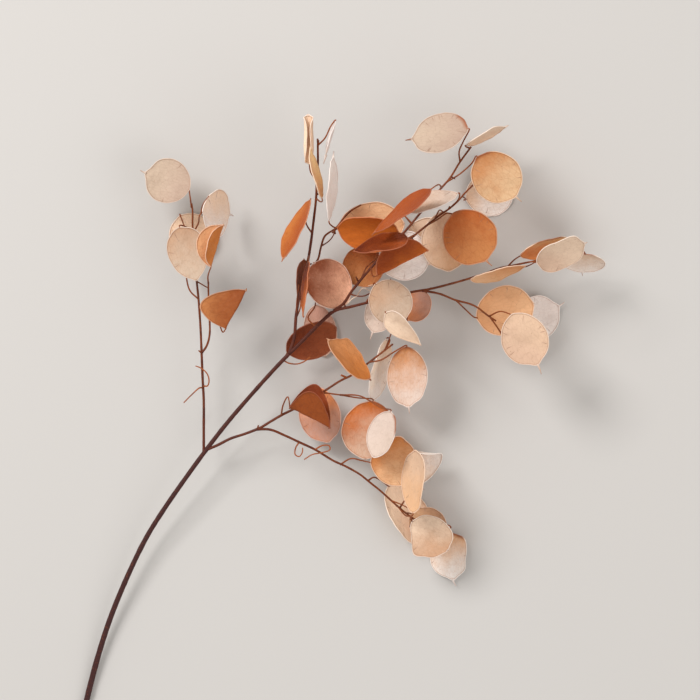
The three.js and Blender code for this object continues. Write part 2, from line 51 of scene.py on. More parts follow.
# Places in the plan are (across, down, height): across and down in plan steps from the plan's top
# left corner, height in millimetres above the surface. Everything built from them is in metres.
# PLAN_SHIFT brings the middle of the part's box over the origin.
MM = 0.001
PLAN_STEP = 0.0008
PLAN_CENTRE = 350
PLAN_SHIFT = Vector((0.013077979, 0.081963522, 0.0))


def on_plan(place: Place) -> Vector:
    """Puts a place of the plan into the part's frame.

    Args:
        place: across and down in plan steps, height in millimetres.

    Returns:
        The point in metres.
    """
    across, down, height = place
    flat = Vector(((across - PLAN_CENTRE) * PLAN_STEP, (PLAN_CENTRE - down) * PLAN_STEP, height * MM))
    return flat + PLAN_SHIFT


# ---------------------------------------------------------------- colours and finishes


class Tone(Enum):
    """The colours of dried honesty, from the silvery inner skin to the stained outer one."""

    MILK = "#f8ede5"
    SNOW = "#ece4e0"
    PEARL = "#e6d6ce"
    BUTTER = "#fbdabc"
    GOLD = "#f6cc90"
    SHELL = "#dcc6b8"
    OAT = "#dac4b4"
    FAWN = "#c8b09a"
    IVORY = "#e9ccb2"
    CREAM = "#dcb99c"
    WHEAT = "#d6b088"
    LINEN = "#cfab92"
    SAND = "#c69a7a"
    PEACH = "#e8b68a"
    APRICOT = "#dc9f70"
    TAN = "#d08c58"
    HONEY = "#c67636"
    AMBER = "#c8661e"
    COPPER = "#aa501a"
    RUST = "#963f0e"
    BRICK = "#8f4518"
    CHESTNUT = "#7e3210"
    UMBER = "#64230b"
    DUN = "#b89c8a"
    SALMON = "#f0904e"
    BLUSH = "#f4b896"
    CARAMEL = "#be7a46"
    SIENNA = "#9a4e2c"
    ROSE = "#cc9a86"
    STAIN = "#9c5630"
    THREAD = "#8a5232"
    BARK = "#3b1a18"
    TWIG = "#5c2612"
    SPRIG = "#a35624"
    STRAW = "#e2c8b0"
    FLOOR = "#c6c2be"

    def linear(self) -> tuple[float, float, float, float]:
        """Turns the screen colour into linear light by the sRGB formula.

        Returns:
            Red, green, blue and full opacity.
        """
        parts = [int(self.value[i : i + 2], 16) / 255 for i in (1, 3, 5)]
        light = [c / 12.92 if c <= 0.04045 else ((c + 0.055) / 1.055) ** 2.4 for c in parts]
        return (light[0], light[1], light[2], 1.0)


class Slot(Enum):
    """Names of material slots, one given for each pod."""

    STEM = "stem"
    CREAM = "pod_cream"
    WHITE = "pod_white"
    PEACH = "pod_peach"
    TAN = "pod_tan"
    ORANGE = "pod_orange"
    RUST = "pod_rust"
    DARK = "pod_dark"
    PINK = "pod_pink"


class Nodes:
    """A small helper that adds and joins shader nodes in one material."""

    def __init__(self, name: str) -> None:
        """Starts a material with its Principled shader.

        Args:
            name: the material's name.
        """
        self.material = bpy.data.materials.new(name)
        self.material.use_nodes = True
        self.tree = self.material.node_tree
        self.shader = self.tree.nodes["Principled BSDF"]

    def add(self, kind: str, inputs: dict | None = None, **settings: object) -> bpy.types.Node:
        """Adds a node.

        Args:
            kind: the node's type name, without its ShaderNode prefix.
            inputs: values or sockets by the input's name or number.
            settings: the node's own properties.

        Returns:
            The new node.
        """
        node = self.tree.nodes.new("ShaderNode" + kind)
        for key, value in settings.items():
            setattr(node, key, value)
        for key, value in (inputs or {}).items():
            self.feed(node.inputs[key], value)
        return node

    def feed(self, socket: Socket, value: object) -> None:
        """Links a socket to an input, or sets the input's own value.

        Args:
            socket: the input.
            value: another node's output, or a plain value.
        """
        if isinstance(value, Socket):
            self.tree.links.new(value, socket)
        else:
            socket.default_value = value

    def layer(self, name: str) -> Socket:
        """Reads a number stored on the mesh's points."""
        return self.add("Attribute", attribute_name=name).outputs["Fac"]

    def math(self, operation: str, *values: object) -> Socket:
        """Adds a Math node and returns its result."""
        return self.add("Math", dict(enumerate(values)), operation=operation).outputs[0]

    def mix(self, share: object, first: object, second: object) -> Socket:
        """Mixes two colours and returns the mixed one."""
        return self.add("Mix", {0: share, 6: first, 7: second}, data_type="RGBA").outputs[2]

    def between(self, value: object, low: float, high: float, to_low: float = 0.0,
                to_high: float = 1.0, smooth: bool = True) -> Socket:
        """Maps a value's range onto another one.

        Args:
            value: the value, or the socket that gives it.
            low: where its range starts.
            high: where its range ends.
            to_low: what low becomes.
            to_high: what high becomes.
            smooth: whether the change sets in and ends softly.

        Returns:
            The mapped value, which never leaves the second range.
        """
        ends = {0: value, 1: low, 2: high, 3: to_low, 4: to_high}
        kind = "SMOOTHSTEP" if smooth else "LINEAR"
        return self.add("MapRange", ends, interpolation_type=kind).outputs[0]

    def stretched(self, place: Socket, along: float, across: float) -> Socket:
        """Scales a UV map's two directions for a drawn out pattern."""
        return self.add("Mapping", {"Vector": place, "Scale": (along, across, 1.0)}).outputs[0]

    def fibres(self, place: Socket, stretch: tuple[float, float], detail: float = 5.0,
               roughness: float = 0.65, distortion: float = 0.0) -> Socket:
        """Adds a flat noise, drawn out along a UV map.

        Args:
            place: the UV map.
            stretch: how often the noise repeats along and across it.
            detail: how many finer noises are laid over it.
            roughness: how strong the finer ones are.
            distortion: how much it swirls.

        Returns:
            The noise's value.
        """
        inputs = {"Vector": self.stretched(place, *stretch), "Scale": 1.0, "Detail": detail,
                  "Roughness": roughness, "Distortion": distortion}
        return self.add("TexNoise", inputs, noise_dimensions="2D").outputs[0]

    def cloud(self, scale: float, detail: float, roughness: float = 0.5) -> Socket:
        """Adds a noise in the part's own space.

        Args:
            scale: how often it repeats in a metre.
            detail: how many finer noises are laid over it.
            roughness: how strong the finer ones are.

        Returns:
            The noise's value.
        """
        place = self.add("TexCoord").outputs["Object"]
        inputs = {"Vector": place, "Scale": scale, "Detail": detail, "Roughness": roughness}
        return self.add("TexNoise", inputs).outputs[0]


@dataclass(frozen=True)
class Mottling:
    """A soft pattern that lets a second tone into a skin.

    low and high are the stretch of the noise's values that counts, and most is the share of the second
    tone where the pattern is strongest.
    """

    scale: float
    detail: float
    low: float
    high: float
    most: float
    roughness: float = 0.5

    def share(self, n: Nodes) -> Socket:
        """Returns the second tone's share at each place."""
        pattern = n.cloud(self.scale, self.detail, self.roughness)
        return n.between(pattern, self.low, self.high, 0.0, self.most)


@dataclass(frozen=True)
class Finish:
    """A dried skin that shades from one tone to another across the pod.

    toward is the heading of the light side in the plan, in degrees. balance is the share of the pod
    that is light. reverse is the tone of the pod's other face, where that shows and differs. beak is
    how brown the style is.
    """

    light: Tone
    dark: Tone
    toward: float
    balance: float = 0.5
    reverse: Tone | None = None
    beak: float = 0.28

    # A broad cloud (scale, detail, roughness) drifts the shading by up to DRIFT. DEEPER makes the
    # darkest tone out of the dark one.
    CLOUD = (60.0, 4.0, 0.55)
    DRIFT = 0.22
    DEEPER = (0.72, 0.68, 0.64)
    MOTTLE = Mottling(420.0, 4.0, 0.5, 0.72, 0.14)
    BLOTCH = Mottling(150.0, 4.0, 0.5, 0.75, 0.26, 0.6)
    SPECKS = Mottling(900.0, 1.0, 0.7, 0.78, 0.45)
    GRAIN_MOST = 0.22
    VEIN_MOST = 0.16
    # The groove inside the rim starts and ends between these radii of the UV map. Then comes the rim, where
    # a painted highlight turns the skin paler, most on pale skins.
    GROOVE = ((0.462, 0.476), (0.478, 0.488))
    GROOVE_MOST = 0.45
    RIM_HIGHLIGHT = (0.478, 0.492)
    RIM_HIGHLIGHT_MOST = 0.7
    RIM_HIGHLIGHT_PALEST = 0.6
    # How often each pattern repeats along and across the pod. LIFTS are the heights of net, grain and
    # crumple in the bump.
    GRAIN = (5.0, 13.0)
    NET = (8.0, 15.0)
    VEIN_WIDTH = 0.1
    CRUMPLE = (5.0, 7.0)
    LIFTS = (0.3, 0.7, 1.6)

    def colour(self, n: Nodes, place: Socket, grain: Socket, veins: Socket) -> Socket:
        """Builds the skin's colour.

        Args:
            n: the material's nodes.
            place: the pod's own UV map.
            grain: the long fibres' pattern.
            veins: the fine net's pattern, 1 on its lines.

        Returns:
            The colour.
        """
        light, dark = self.light.linear(), self.dark.linear()
        deep = (*(c * share for c, share in zip(dark, self.DEEPER)), 1.0)
        stain, thread = Tone.STAIN.linear(), Tone.THREAD.linear()
        drift = n.between(n.cloud(*self.CLOUD), 0.25, 0.75, -self.DRIFT, self.DRIFT, smooth=False)
        skin = n.mix(n.between(n.math("ADD", n.layer("shade"), drift), 0.0, 1.0), light, dark)
        if self.reverse:
            skin = n.mix(n.layer("reverse"), skin, self.reverse.linear())
        skin = n.mix(n.between(grain, 0.5, 0.75, 0.0, self.GRAIN_MOST), skin, dark)
        skin = n.mix(self.MOTTLE.share(n), skin, light)
        skin = n.mix(self.BLOTCH.share(n), skin, deep)
        skin = n.mix(n.math("MULTIPLY", veins, self.VEIN_MOST), skin, deep)
        skin = n.mix(self.SPECKS.share(n), skin, thread)
        middle = n.add("VectorMath", {0: place, 1: (0.5, 0.5, 0.0)}, operation="SUBTRACT").outputs[0]
        reach = n.add("VectorMath", {0: middle}, operation="LENGTH").outputs[1]
        rise, fall = self.GROOVE
        groove = n.math("MULTIPLY", n.between(reach, *rise), n.between(reach, *fall, 1.0, 0.0))
        skin = n.mix(n.math("MULTIPLY", groove, self.GROOVE_MOST), skin, n.mix(0.5, deep, stain))
        # Painted highlight: the rim bead is drawn paler, towards milk, as if lit.
        rim_highlight = n.math("MULTIPLY", n.between(reach, *self.RIM_HIGHLIGHT), self.RIM_HIGHLIGHT_MOST)
        skin = n.mix(rim_highlight, skin, n.mix(min(self.RIM_HIGHLIGHT_PALEST, light[1]), light, Tone.MILK.linear()))
        skin = n.mix(n.layer("stain"), skin, stain)
        return n.mix(n.layer("thread"), skin, thread)

    def material(self, name: str) -> bpy.types.Material:
        """Builds the skin's material, which reads the pod's point layers and its own UV map.

        Args:
            name: the material's name.

        Returns:
            The material.
        """
        n = Nodes(name)
        place = n.add("UVMap", uv_map="pod").outputs[0]
        grain = n.fibres(place, self.GRAIN, distortion=1.2)
        cells = n.add("TexVoronoi", {"Vector": n.stretched(place, *self.NET), "Scale": 1.0},
                      feature="DISTANCE_TO_EDGE", voronoi_dimensions="2D")
        veins = n.between(cells.outputs[0], 0.0, self.VEIN_WIDTH, 1.0, 0.0)
        n.feed(n.shader.inputs["Base Color"], self.colour(n, place, grain, veins))
        crumple = n.fibres(place, self.CRUMPLE, detail=3.0, roughness=0.5)
        lifts = [n.math("MULTIPLY", each, lift) for each, lift in zip((veins, grain, crumple), self.LIFTS)]
        height = n.math("ADD", lifts[0], n.math("ADD", lifts[1], lifts[2]))
        bump = n.add("Bump", {"Strength": 0.55, "Distance": 0.8 * MM, "Height": height})
        n.feed(n.shader.inputs["Normal"], bump.outputs[0])
        n.feed(n.shader.inputs["Roughness"], n.between(grain, 0.3, 0.7, 0.5, 0.66, smooth=False))
        n.shader.inputs["Specular IOR Level"].default_value = 0.22
        return n.material


@dataclass(frozen=True)
class Bark:
    """The smooth maroon skin of the stem, orange brown on twigs and paler on stalks and tendrils.

    stretch is how often its fibres repeat along and across a twig. ages are the tones from the oldest
    skin to the youngest, one for each whole number of the youth layer.
    """

    stretch: tuple[float, float] = (5.0, 60.0)
    ages: tuple[Tone, ...] = (Tone.BARK, Tone.TWIG, Tone.SPRIG, Tone.STRAW)

    PATCHES = Mottling(160.0, 3.0, 0.45, 0.7, 0.5)
    FIBRE_MOST = 0.28

    def material(self) -> bpy.types.Material:
        """Builds the bark's material, which reads the stem's youth layer and its own UV map.

        Returns:
            The material.
        """
        n = Nodes("stem_bark")
        youth = n.layer("youth")
        fibre = n.fibres(n.add("UVMap", uv_map="bark").outputs[0], self.stretch)
        skin = self.ages[0].linear()
        for age, tone in enumerate(self.ages[1:]):
            skin = n.mix(n.between(youth, age, age + 1, smooth=False), skin, tone.linear())
        skin = n.mix(n.between(fibre, 0.52, 0.78, 0.0, self.FIBRE_MOST), skin, Tone.SPRIG.linear())
        skin = n.mix(self.PATCHES.share(n), skin, Tone.BARK.linear())
        n.feed(n.shader.inputs["Base Color"], skin)
        bump = n.add("Bump", {"Strength": 0.5, "Distance": 0.3 * MM, "Height": fibre})
        n.feed(n.shader.inputs["Normal"], bump.outputs[0])
        n.feed(n.shader.inputs["Roughness"], n.between(fibre, 0.3, 0.7, 0.42, 0.6, smooth=False))
        n.shader.inputs["Specular IOR Level"].default_value = 0.25
        return n.material


# ---------------------------------------------------------------- meshes


def as_object(bm: Mesh, name: str, material: bpy.types.Material) -> bpy.types.Object:
    """Turns a bmesh into a smooth object at the origin, with one material.

    Args:
        bm: the finished bmesh, in the part's frame, which is freed.
        name: the piece's name.
        material: its finish.

    Returns:
        The new object, linked to the scene.
    """
    mesh = bpy.data.meshes.new(name)
    bm.to_mesh(mesh)
    bm.free()
    mesh.materials.append(material)
    mesh.shade_smooth()
    piece = bpy.data.objects.new(name, mesh)
    bpy.context.scene.collection.objects.link(piece)
    return piece


def frames_along(points: list[Vector]) -> list[Matrix]:
    """Carries a frame along a path without twisting it.

    Args:
        points: the path.

    Returns:
        A matrix for each point, whose third axis is the path's direction.
    """
    last = len(points) - 1
    headings = [(points[min(i + 1, last)] - points[max(i - 1, 0)]).normalized() for i in range(last + 1)]
    side = headings[0].orthogonal().normalized()
    frames = []
    for point, heading in zip(points, headings):
        side = (side - heading * side.dot(heading)).normalized()
        turned = Matrix((side, heading.cross(side), heading)).transposed().to_4x4()
        frames.append(Matrix.Translation(point) @ turned)
    return frames


# How often the bark's UV map repeats in a metre of twig.
BARK_REPEATS = 10


def sweep(bm: Mesh, points: list[Vector], radii: list[float], sides: int,
          layer: str, values: list[float]) -> None:
    """Adds a closed round tube of changing radius along a path.

    Args:
        bm: the bmesh that takes the tube.
        points: the path.
        radii: the tube's radius at each point.
        sides: how many sides the tube has.
        layer: the point layer that the material reads.
        values: the layer's value at each point of the path.
    """
    tube = bmesh.new()
    round_about = tube.verts.layers.float.new("round")
    along = tube.verts.layers.float.new("along")
    told = tube.verts.layers.float.new(layer)
    ring = bmesh.ops.create_circle(tube, cap_ends=True, segments=sides, radius=1.0)["verts"]
    for vert in ring:
        vert[round_about] = math.atan2(vert.co.y, vert.co.x) / math.tau + 0.5
    frames = [f @ Matrix.Scale(r, 4) for f, r in zip(frames_along(points), radii)]
    bmesh.ops.transform(tube, matrix=frames[0], verts=ring)
    edges = tube.edges[:]
    gone = 0.0
    for i, value in enumerate(values):
        if i:
            made = bmesh.ops.extrude_edge_only(tube, edges=edges)["geom"]
            ring = [g for g in made if isinstance(g, bmesh.types.BMVert)]
            edges = [g for g in made if isinstance(g, bmesh.types.BMEdge)
                     and g.verts[0] in ring and g.verts[1] in ring]
            bmesh.ops.transform(tube, matrix=frames[i] @ frames[i - 1].inverted(), verts=ring)
            gone += (points[i] - points[i - 1]).length
        for vert in ring:
            vert[along] = gone
            vert[told] = value
    bmesh.ops.edgeloop_fill(tube, edges=edges)
    bmesh.ops.recalc_face_normals(tube, faces=tube.faces)
    uv = tube.loops.layers.uv.new("bark")
    for face in tube.faces:
        rounds = [loop.vert[round_about] for loop in face.loops]
        wraps = max(rounds) - min(rounds) > 0.5
        for loop in face.loops:
            r = loop.vert[round_about]
            loop[uv].uv = (r + 1.0 if wraps and r < 0.5 else r, loop.vert[along] * BARK_REPEATS)
    spare = bpy.data.meshes.new("spare")
    tube.to_mesh(spare)
    tube.free()
    bm.from_mesh(spare)
    bpy.data.meshes.remove(spare)


def smooth_curve(stops: list[Vector], step: float) -> list[Vector]:
    """Runs a centripetal Catmull-Rom curve through some stops.

    Args:
        stops: the points that the curve passes through.
        step: about how far apart the curve's own points lie.

    Returns:
        The curve's points, from the first stop to the last.
    """
    ends = [stops[0] * 2 - stops[1], *stops, stops[-1] * 2 - stops[-2]]
    curve = []
    for a, b, c, d in zip(ends, ends[1:], ends[2:], ends[3:]):
        t1, t2, t3 = ((q - p).length ** 0.5 for p, q in ((a, b), (b, c), (c, d)))
        start = ((b - a) / t1 - (c - a) / (t1 + t2) + (c - b) / t2) * t2
        end = ((c - b) / t2 - (d - b) / (t2 + t3) + (d - c) / t3) * t2
        count = max(1, round((c - b).length / step))
        for i in range(count):
            t = i / count
            curve.append(b * (2 * t**3 - 3 * t**2 + 1) + start * (t**3 - 2 * t**2 + t)
                         + c * (3 * t**2 - 2 * t**3) + end * (t**3 - t**2))
    return [*curve, stops[-1].copy()]


# ---------------------------------------------------------------- pods


@dataclass(frozen=True)
class Pod:
    """One papery pod: a thin cupped skin in a wiry rim, with the remains of its style at the tip.

    Sizes are in millimetres and angles in degrees. at is the pod's middle and size its length and width.
    turn is the tip's heading in the plan, its rise and the roll about the pod's own length. curl is the
    rolling axis and the angle rolled across. stalk is its stalk's route up to its base. style is how far
    the style reaches past the outline, fullness how much wider the half towards the tip is. rests lowers
    the pod onto the surface. fold is the angle that the right half turns under the left half (over it,
    below zero), and the right half's width as a share of the left half's. square is the exponent of the
    outline: 2 is an ellipse. point is how far the edge is drawn out into the style, and edge lists more
    such places as turn from the tip, reach (below zero where the edge is flatter) and spread. swell is a
    bulge in the skin: share of the way out, turn from the tip, radius and height. lean is how far the
    style bends sideways. marks counts the seed stalks on each side. stain is the stretch of rim, in turns
    from the tip, that is stained brown.
    """

    name: str
    at: Place
    size: tuple[float, float]
    turn: tuple[float, float, float]
    curl: tuple[float, float]
    stalk: tuple[Place, ...]
    slot: Slot
    finish: Finish
    style: float = 1.5
    fullness: float = 0.07
    rests: bool = False
    fold: tuple[float, float] | None = None
    square: float = 2.0
    point: float = 0.06
    edge: tuple[tuple[float, float, float], ...] = ()
    swell: tuple[float, float, float, float] | None = None
    lean: float = 0.6
    marks: int = 0
    stain: tuple[float, float] = (0.0, 0.0)

    # The cup's depth, the width of a fold's bend, half the skin's thickness and the rim's radius.
    CUP = 1.2
    FOLD_BEND = 2.0
    SKIN = 0.16
    BEAD = 0.42
    # Where a rolled skin crosses its own level, and how much of the cup lies below it.
    LEVEL_SHARE = 0.5
    # A pod that is rolled further than this has no cup.
    ROLLED = 180
    # How finely the skin is divided round about and outwards, and where the rim's upper points lie.
    SIDES = 96
    RINGS = 14
    RIM_ANGLES = (140, 105, 70, 35)
    # Waves in a metre, height and place in the noise of the broad and the fine buckles, and of the
    # pleats, whose waves along and across differ and slant. CALM is the share of it all in the middle.
    BROAD = (60, 1.5, 3.7)
    FINE = (170, 0.45, 8.1)
    PLEATS = (30, 130, 0.5, 12.4)
    SLANT = 0.5
    CALM = 0.45
    # The spread of the drawn out tip, and the turn, reach and spread of the drawn out base.
    TIP_SPREAD = 11.0
    BASE = (180.0, 0.03, 9.0)
    # How wavy the edge is, in shares of the pod, and how many waves it has.
    EDGE_WAVE = 0.025
    EDGE_WAVES = 2.2
    # Where the rim's stain starts, over how far it sets in, how brown it gets and how fast it fades
    # towards its two ends.
    STAIN_START = 0.86
    STAIN_RISE = 0.07
    STAIN_MOST = 0.85
    STAIN_FADE = 5
    # The style: how deep it is rooted, its radius at the tip, how much thicker its root is, and how
    # brown it is at the root and how much browner at the tip.
    ROOTED = 1.2
    STYLE_TIP = 0.34
    STYLE_ROOT = 0.8
    STYLE_BROWNS = (0.4, 1.6)
    STYLE_STEPS = 8
    STYLE_SIDES = 8
    # The seed stalks: the first one's angle, the angle over which they spread, how far they stray and
    # sway, their length and start with the play of each, their lift off the skin's middle, and their
    # radii and browns from the rim on.
    MARKS_FROM = 38
    MARKS_OVER = 112
    MARKS_STRAY = 50
    MARK_SWAY = 0.05
    MARK_LENGTH = (0.2, 0.22)
    MARK_START = (0.93, 0.12)
    MARK_LIFT = 0.19
    MARK_RADII = (0.14, 0.19, 0.17, 0.14, 0.08)
    MARK_BROWNS = (0.7, 0.75, 0.7, 0.6, 0.4)
    MARK_SIDES = 6
    # A stalk whose last stretch turns more sharply than this cosine gets a lead point before the base.
    # LEADS are how far outside the base that point and the stalk's end lie.
    SHARP_TURN = 0.35
    LEADS = (1.5, -0.5)

    def frame_of(self) -> Matrix:
        """Works out the pod's own axes at its place: along it, across it and out of its face.

        Returns:
            The matrix from the pod's own axes to the part's frame.
        """
        heading, rise, roll = (math.radians(angle) for angle in self.turn)
        level = math.cos(rise)
        along = Vector((math.cos(heading) * level, math.sin(heading) * level, math.sin(rise)))
        across = Matrix.Rotation(roll, 3, along) @ Vector((-math.sin(heading), math.cos(heading), 0.0))
        turned = Matrix((along, across, along.cross(across))).transposed().to_4x4()
        return Matrix.Translation(on_plan(self.at)) @ turned

    def shaped(self, x: float, y: float, lift: float) -> Vector:
        """Moves a point of the flat disc onto the folded, rolled or slightly cupped pod.

        Args:
            x: along the pod, from its middle.
            y: across it.
            lift: above its middle surface.

        Returns:
            The point in the pod's own axes.
        """
        length, width = (s * MM for s in self.size)
        axis, roll = (math.radians(angle) for angle in self.curl)
        bend = roll / width
        along = x * math.cos(axis) + y * math.sin(axis)
        across = y * math.cos(axis) - x * math.sin(axis)
        radius = min(1.0, math.hypot(2 * x / length, 2 * y / width))
        angle = bend * across
        side = math.sin(angle) / bend - lift * math.sin(angle)
        rise = (math.cos(self.LEVEL_SHARE * roll / 2) - math.cos(angle)) / bend + lift * math.cos(angle)
        cup = 0.0 if self.fold or self.curl[1] > self.ROLLED else self.CUP * MM
        return self.folded(Vector((along * math.cos(axis) - side * math.sin(axis),
                                   along * math.sin(axis) + side * math.cos(axis),
                                   rise + cup * (radius * radius - self.LEVEL_SHARE))))

    def folded(self, point: Vector) -> Vector:
        """Turns the right half of a folded pod round its narrow bend.

        Args:
            point: a point in the pod's own axes.

        Returns:
            The turned point, or the same one where nothing is folded.
        """
        bend = self.FOLD_BEND * MM
        past = bend / 2 - point.y
        if not self.fold or past <= 0:
            return point
        radius = bend / math.radians(self.fold[0])
        bent = min(past, bend)
        straight = past - bent
        slope = bent / radius
        out = (radius + point.z) * math.sin(slope) + straight * math.cos(slope)
        height = (radius + point.z) * math.cos(slope) - radius - straight * math.sin(slope)
        return Vector((point.x, bend / 2 - out, height))

    def on_disc(self, share: float, turn: float) -> tuple[float, float]:
        """Finds a point of the flat disc.

        Args:
            share: the share of the way out.
            turn: the angle from the tip.

        Returns:
            How far along the pod and across it the point lies.
        """
        length, width = (s * MM for s in self.size)
        wide = 1 + self.fullness * math.cos(turn)
        if self.fold and math.sin(turn) < 0:
            wide *= self.fold[1]
        corner = abs(math.cos(turn)) ** self.square + abs(math.sin(turn)) ** self.square
        share *= corner ** (-1 / self.square)
        return share * length / 2 * math.cos(turn), share * width / 2 * math.sin(turn) * wide

    def drawn_out(self, turn: float) -> float:
        """Adds up the places where the edge is drawn out or flat.

        Args:
            turn: the angle from the tip.

        Returns:
            How much further out the edge lies there, or less, as a share of the pod.
        """
        total = 0.0
        for at, reach, spread in ((0.0, self.point, self.TIP_SPREAD), self.BASE, *self.edge):
            away = (math.degrees(turn) - at + 180) % 360 - 180
            total += reach * math.exp(-((away / spread) ** 2))
        return total

    def seed(self) -> Vector:
        """Returns the pod's own offset in the noise."""
        return Vector((self.at[0], self.at[1], 0.0))

    def relief(self, x: float, y: float, share: float) -> float:
        """Works out how far the dry skin has buckled at a point of the flat disc.

        Args:
            x: along the pod, from its middle.
            y: across it.
            share: the share of the way out.

        Returns:
            The lift in metres.
        """
        lift = 0.0
        for waves, height, level in (self.BROAD, self.FINE):
            lift += height * noise.noise(Vector((x * waves, y * waves, level)) + self.seed())
        along, across, height, level = self.PLEATS
        slanted = Vector(((x + self.SLANT * y) * along, (y - self.SLANT * x) * across, level))
        lift += height * noise.noise(slanted + self.seed())
        lift *= self.CALM + (1 - self.CALM) * share
        if self.swell:
            out, turn, radius, height = self.swell
            middle = self.on_disc(out, math.radians(turn))
            away = math.hypot(x - middle[0], y - middle[1]) / (radius * MM)
            lift += height * max(0.0, 1 - away * away) ** 1.5
        return lift * MM

    def profile(self) -> list[tuple[float, float]]:
        """Draws the half section of skin and rim, over the top and back under it.

        Returns:
            The section's points: shares of the way out, and lifts in metres.
        """
        bead = self.BEAD / (sum(self.size) / 4)
        shares = [(i / self.RINGS) * (1 - 2 * bead) for i in range(self.RINGS + 1)]
        upper = [(share, self.SKIN * MM) for share in shares]
        turns = [math.radians(angle) for angle in self.RIM_ANGLES]
        round_rim = [(1 - bead + bead * math.cos(t), self.BEAD * MM * math.sin(t)) for t in turns]
        top = upper + round_rim
        return [*top, (1.0, 0.0), *[(share, -lift) for share, lift in reversed(top)]]

    def stained(self, share: float, turn: float) -> float:
        """Works out how brown the rim's stain is at a point of the disc.

        Args:
            share: the share of the way out.
            turn: the angle from the tip.

        Returns:
            The stain's share of the colour.
        """
        start, end = (math.radians(angle) for angle in self.stain)
        if start == end:
            return 0.0
        gone = (turn - start) % math.tau
        span = end - start
        if gone > span:
            return 0.0
        fade = min(1.0, self.STAIN_FADE * min(gone, span - gone) / span)
        rise = (share - self.STAIN_START) / self.STAIN_RISE
        return self.STAIN_MOST * fade * max(0.0, min(1.0, rise))

    def skin(self) -> Mesh:
        """Spins the half section into a closed disc and shapes it, with its UV map and layers.

        Returns:
            The bmesh, in the pod's own axes.
        """
        bm = bmesh.new()
        section = [bm.verts.new((share, 0.0, lift)) for share, lift in self.profile()]
        lines = [bm.edges.new(pair) for pair in zip(section, section[1:])]
        bmesh.ops.spin(bm, geom=[*section, *lines], cent=(0, 0, 0), axis=(0, 0, 1), angle=math.tau,
                       steps=self.SIDES, use_merge=True)
        bmesh.ops.remove_doubles(bm, verts=bm.verts, dist=1e-6)
        bmesh.ops.recalc_face_normals(bm, faces=bm.faces)
        uv = bm.loops.layers.uv.new("pod")
        for face in bm.faces:
            for loop in face.loops:
                loop[uv].uv = (0.5 + loop.vert.co.x / 2, 0.5 + loop.vert.co.y / 2)
        reverse = bm.verts.layers.float.new("reverse")
        stain = bm.verts.layers.float.new("stain")
        for vert in bm.verts:
            share, turn = math.hypot(vert.co.x, vert.co.y), math.atan2(vert.co.y, vert.co.x)
            vert[reverse] = 1.0 if vert.co.z < 0 else 0.0
            vert[stain] = self.stained(share, turn)
            around = Vector((self.EDGE_WAVES * math.cos(turn), self.EDGE_WAVES * math.sin(turn), 0.0))
            wave = self.EDGE_WAVE * noise.noise(around + self.seed())
            reach = share * (1 + share * share * (wave + self.drawn_out(turn)))
            x, y = self.on_disc(reach, turn)
            vert.co = self.shaped(x, y, vert.co.z + self.relief(x, y, share))
        return bm

    def add_style(self, bm: Mesh) -> None:
        """Adds the remains of the style at the tip.

        Args:
            bm: the pod's bmesh, in its own axes.
        """
        root = self.size[0] / 2 * (1 + self.drawn_out(0.0))
        tip = self.size[0] / 2 + self.style
        lift = self.relief(root * MM, 0.0, 1.0)
        shares = [i / (self.STYLE_STEPS - 1) for i in range(self.STYLE_STEPS)]
        ways = [(root - self.ROOTED + (tip - root + self.ROOTED) * t) * MM for t in shares]
        path = [self.shaped(way, self.lean * t * t * MM, lift) for way, t in zip(ways, shares)]
        radii = [(self.STYLE_TIP + self.STYLE_ROOT * (1 - t) ** 1.5) * MM for t in shares]
        root_brown, more = self.STYLE_BROWNS
        browns = [self.finish.beak * (root_brown + more * t) for t in shares]
        sweep(bm, path, radii, self.STYLE_SIDES, "thread", browns)

    def add_seed_stalk(self, bm: Mesh, side: int, rank: int) -> None:
        """Adds one of the fine brown seed stalks that run in from the rim, on both faces.

        Args:
            bm: the pod's bmesh, in its own axes.
            side: 1 for the pod's left half, -1 for the right.
            rank: which of that side's stalks it is, from the tip.
        """
        # The odd factors only keep the stalks' places in the noise apart.
        wobble = noise.noise(Vector((self.at[0] + 7.3 * rank, self.at[1] + 3.1, side * 2.7)))
        shift = noise.noise(Vector((self.at[0] * 3 + 5.9 * rank, self.at[1], side)))
        place = (rank + 0.5) / self.marks
        turn = side * math.radians(self.MARKS_FROM + self.MARKS_OVER * place + self.MARKS_STRAY * wobble)
        length = self.MARK_LENGTH[0] + self.MARK_LENGTH[1] * wobble
        start = self.MARK_START[0] - self.MARK_START[1] * abs(shift)
        places = []
        last = len(self.MARK_RADII) - 1
        for i in range(last + 1):
            share = start - length * i / last
            reach = share * (1 + share * share * self.drawn_out(turn))
            x, y = self.on_disc(reach, turn + self.MARK_SWAY * i * wobble)
            places.append((x, y, self.relief(x, y, share)))
        for face in (self.MARK_LIFT * MM, -self.MARK_LIFT * MM):
            thread = [self.shaped(x, y, lift + face) for x, y, lift in places]
            radii = [radius * MM for radius in self.MARK_RADII]
            sweep(bm, thread, radii, self.MARK_SIDES, "thread", self.MARK_BROWNS)

    def shade_layer(self, bm: Mesh) -> None:
        """Stores how far each point lies from the light side to the dark side of the finish.

        Args:
            bm: the pod's bmesh, in the part's frame.
        """
        shade = bm.verts.layers.float.new("shade")
        toward = math.radians(self.finish.toward)
        direction = Vector((math.cos(toward), math.sin(toward), 0.0))
        places = [vert.co.dot(direction) for vert in bm.verts]
        low, high = min(places), max(places)
        for vert in bm.verts:
            share = (high - vert.co.dot(direction)) / (high - low)
            vert[shade] = share + 0.5 - self.finish.balance

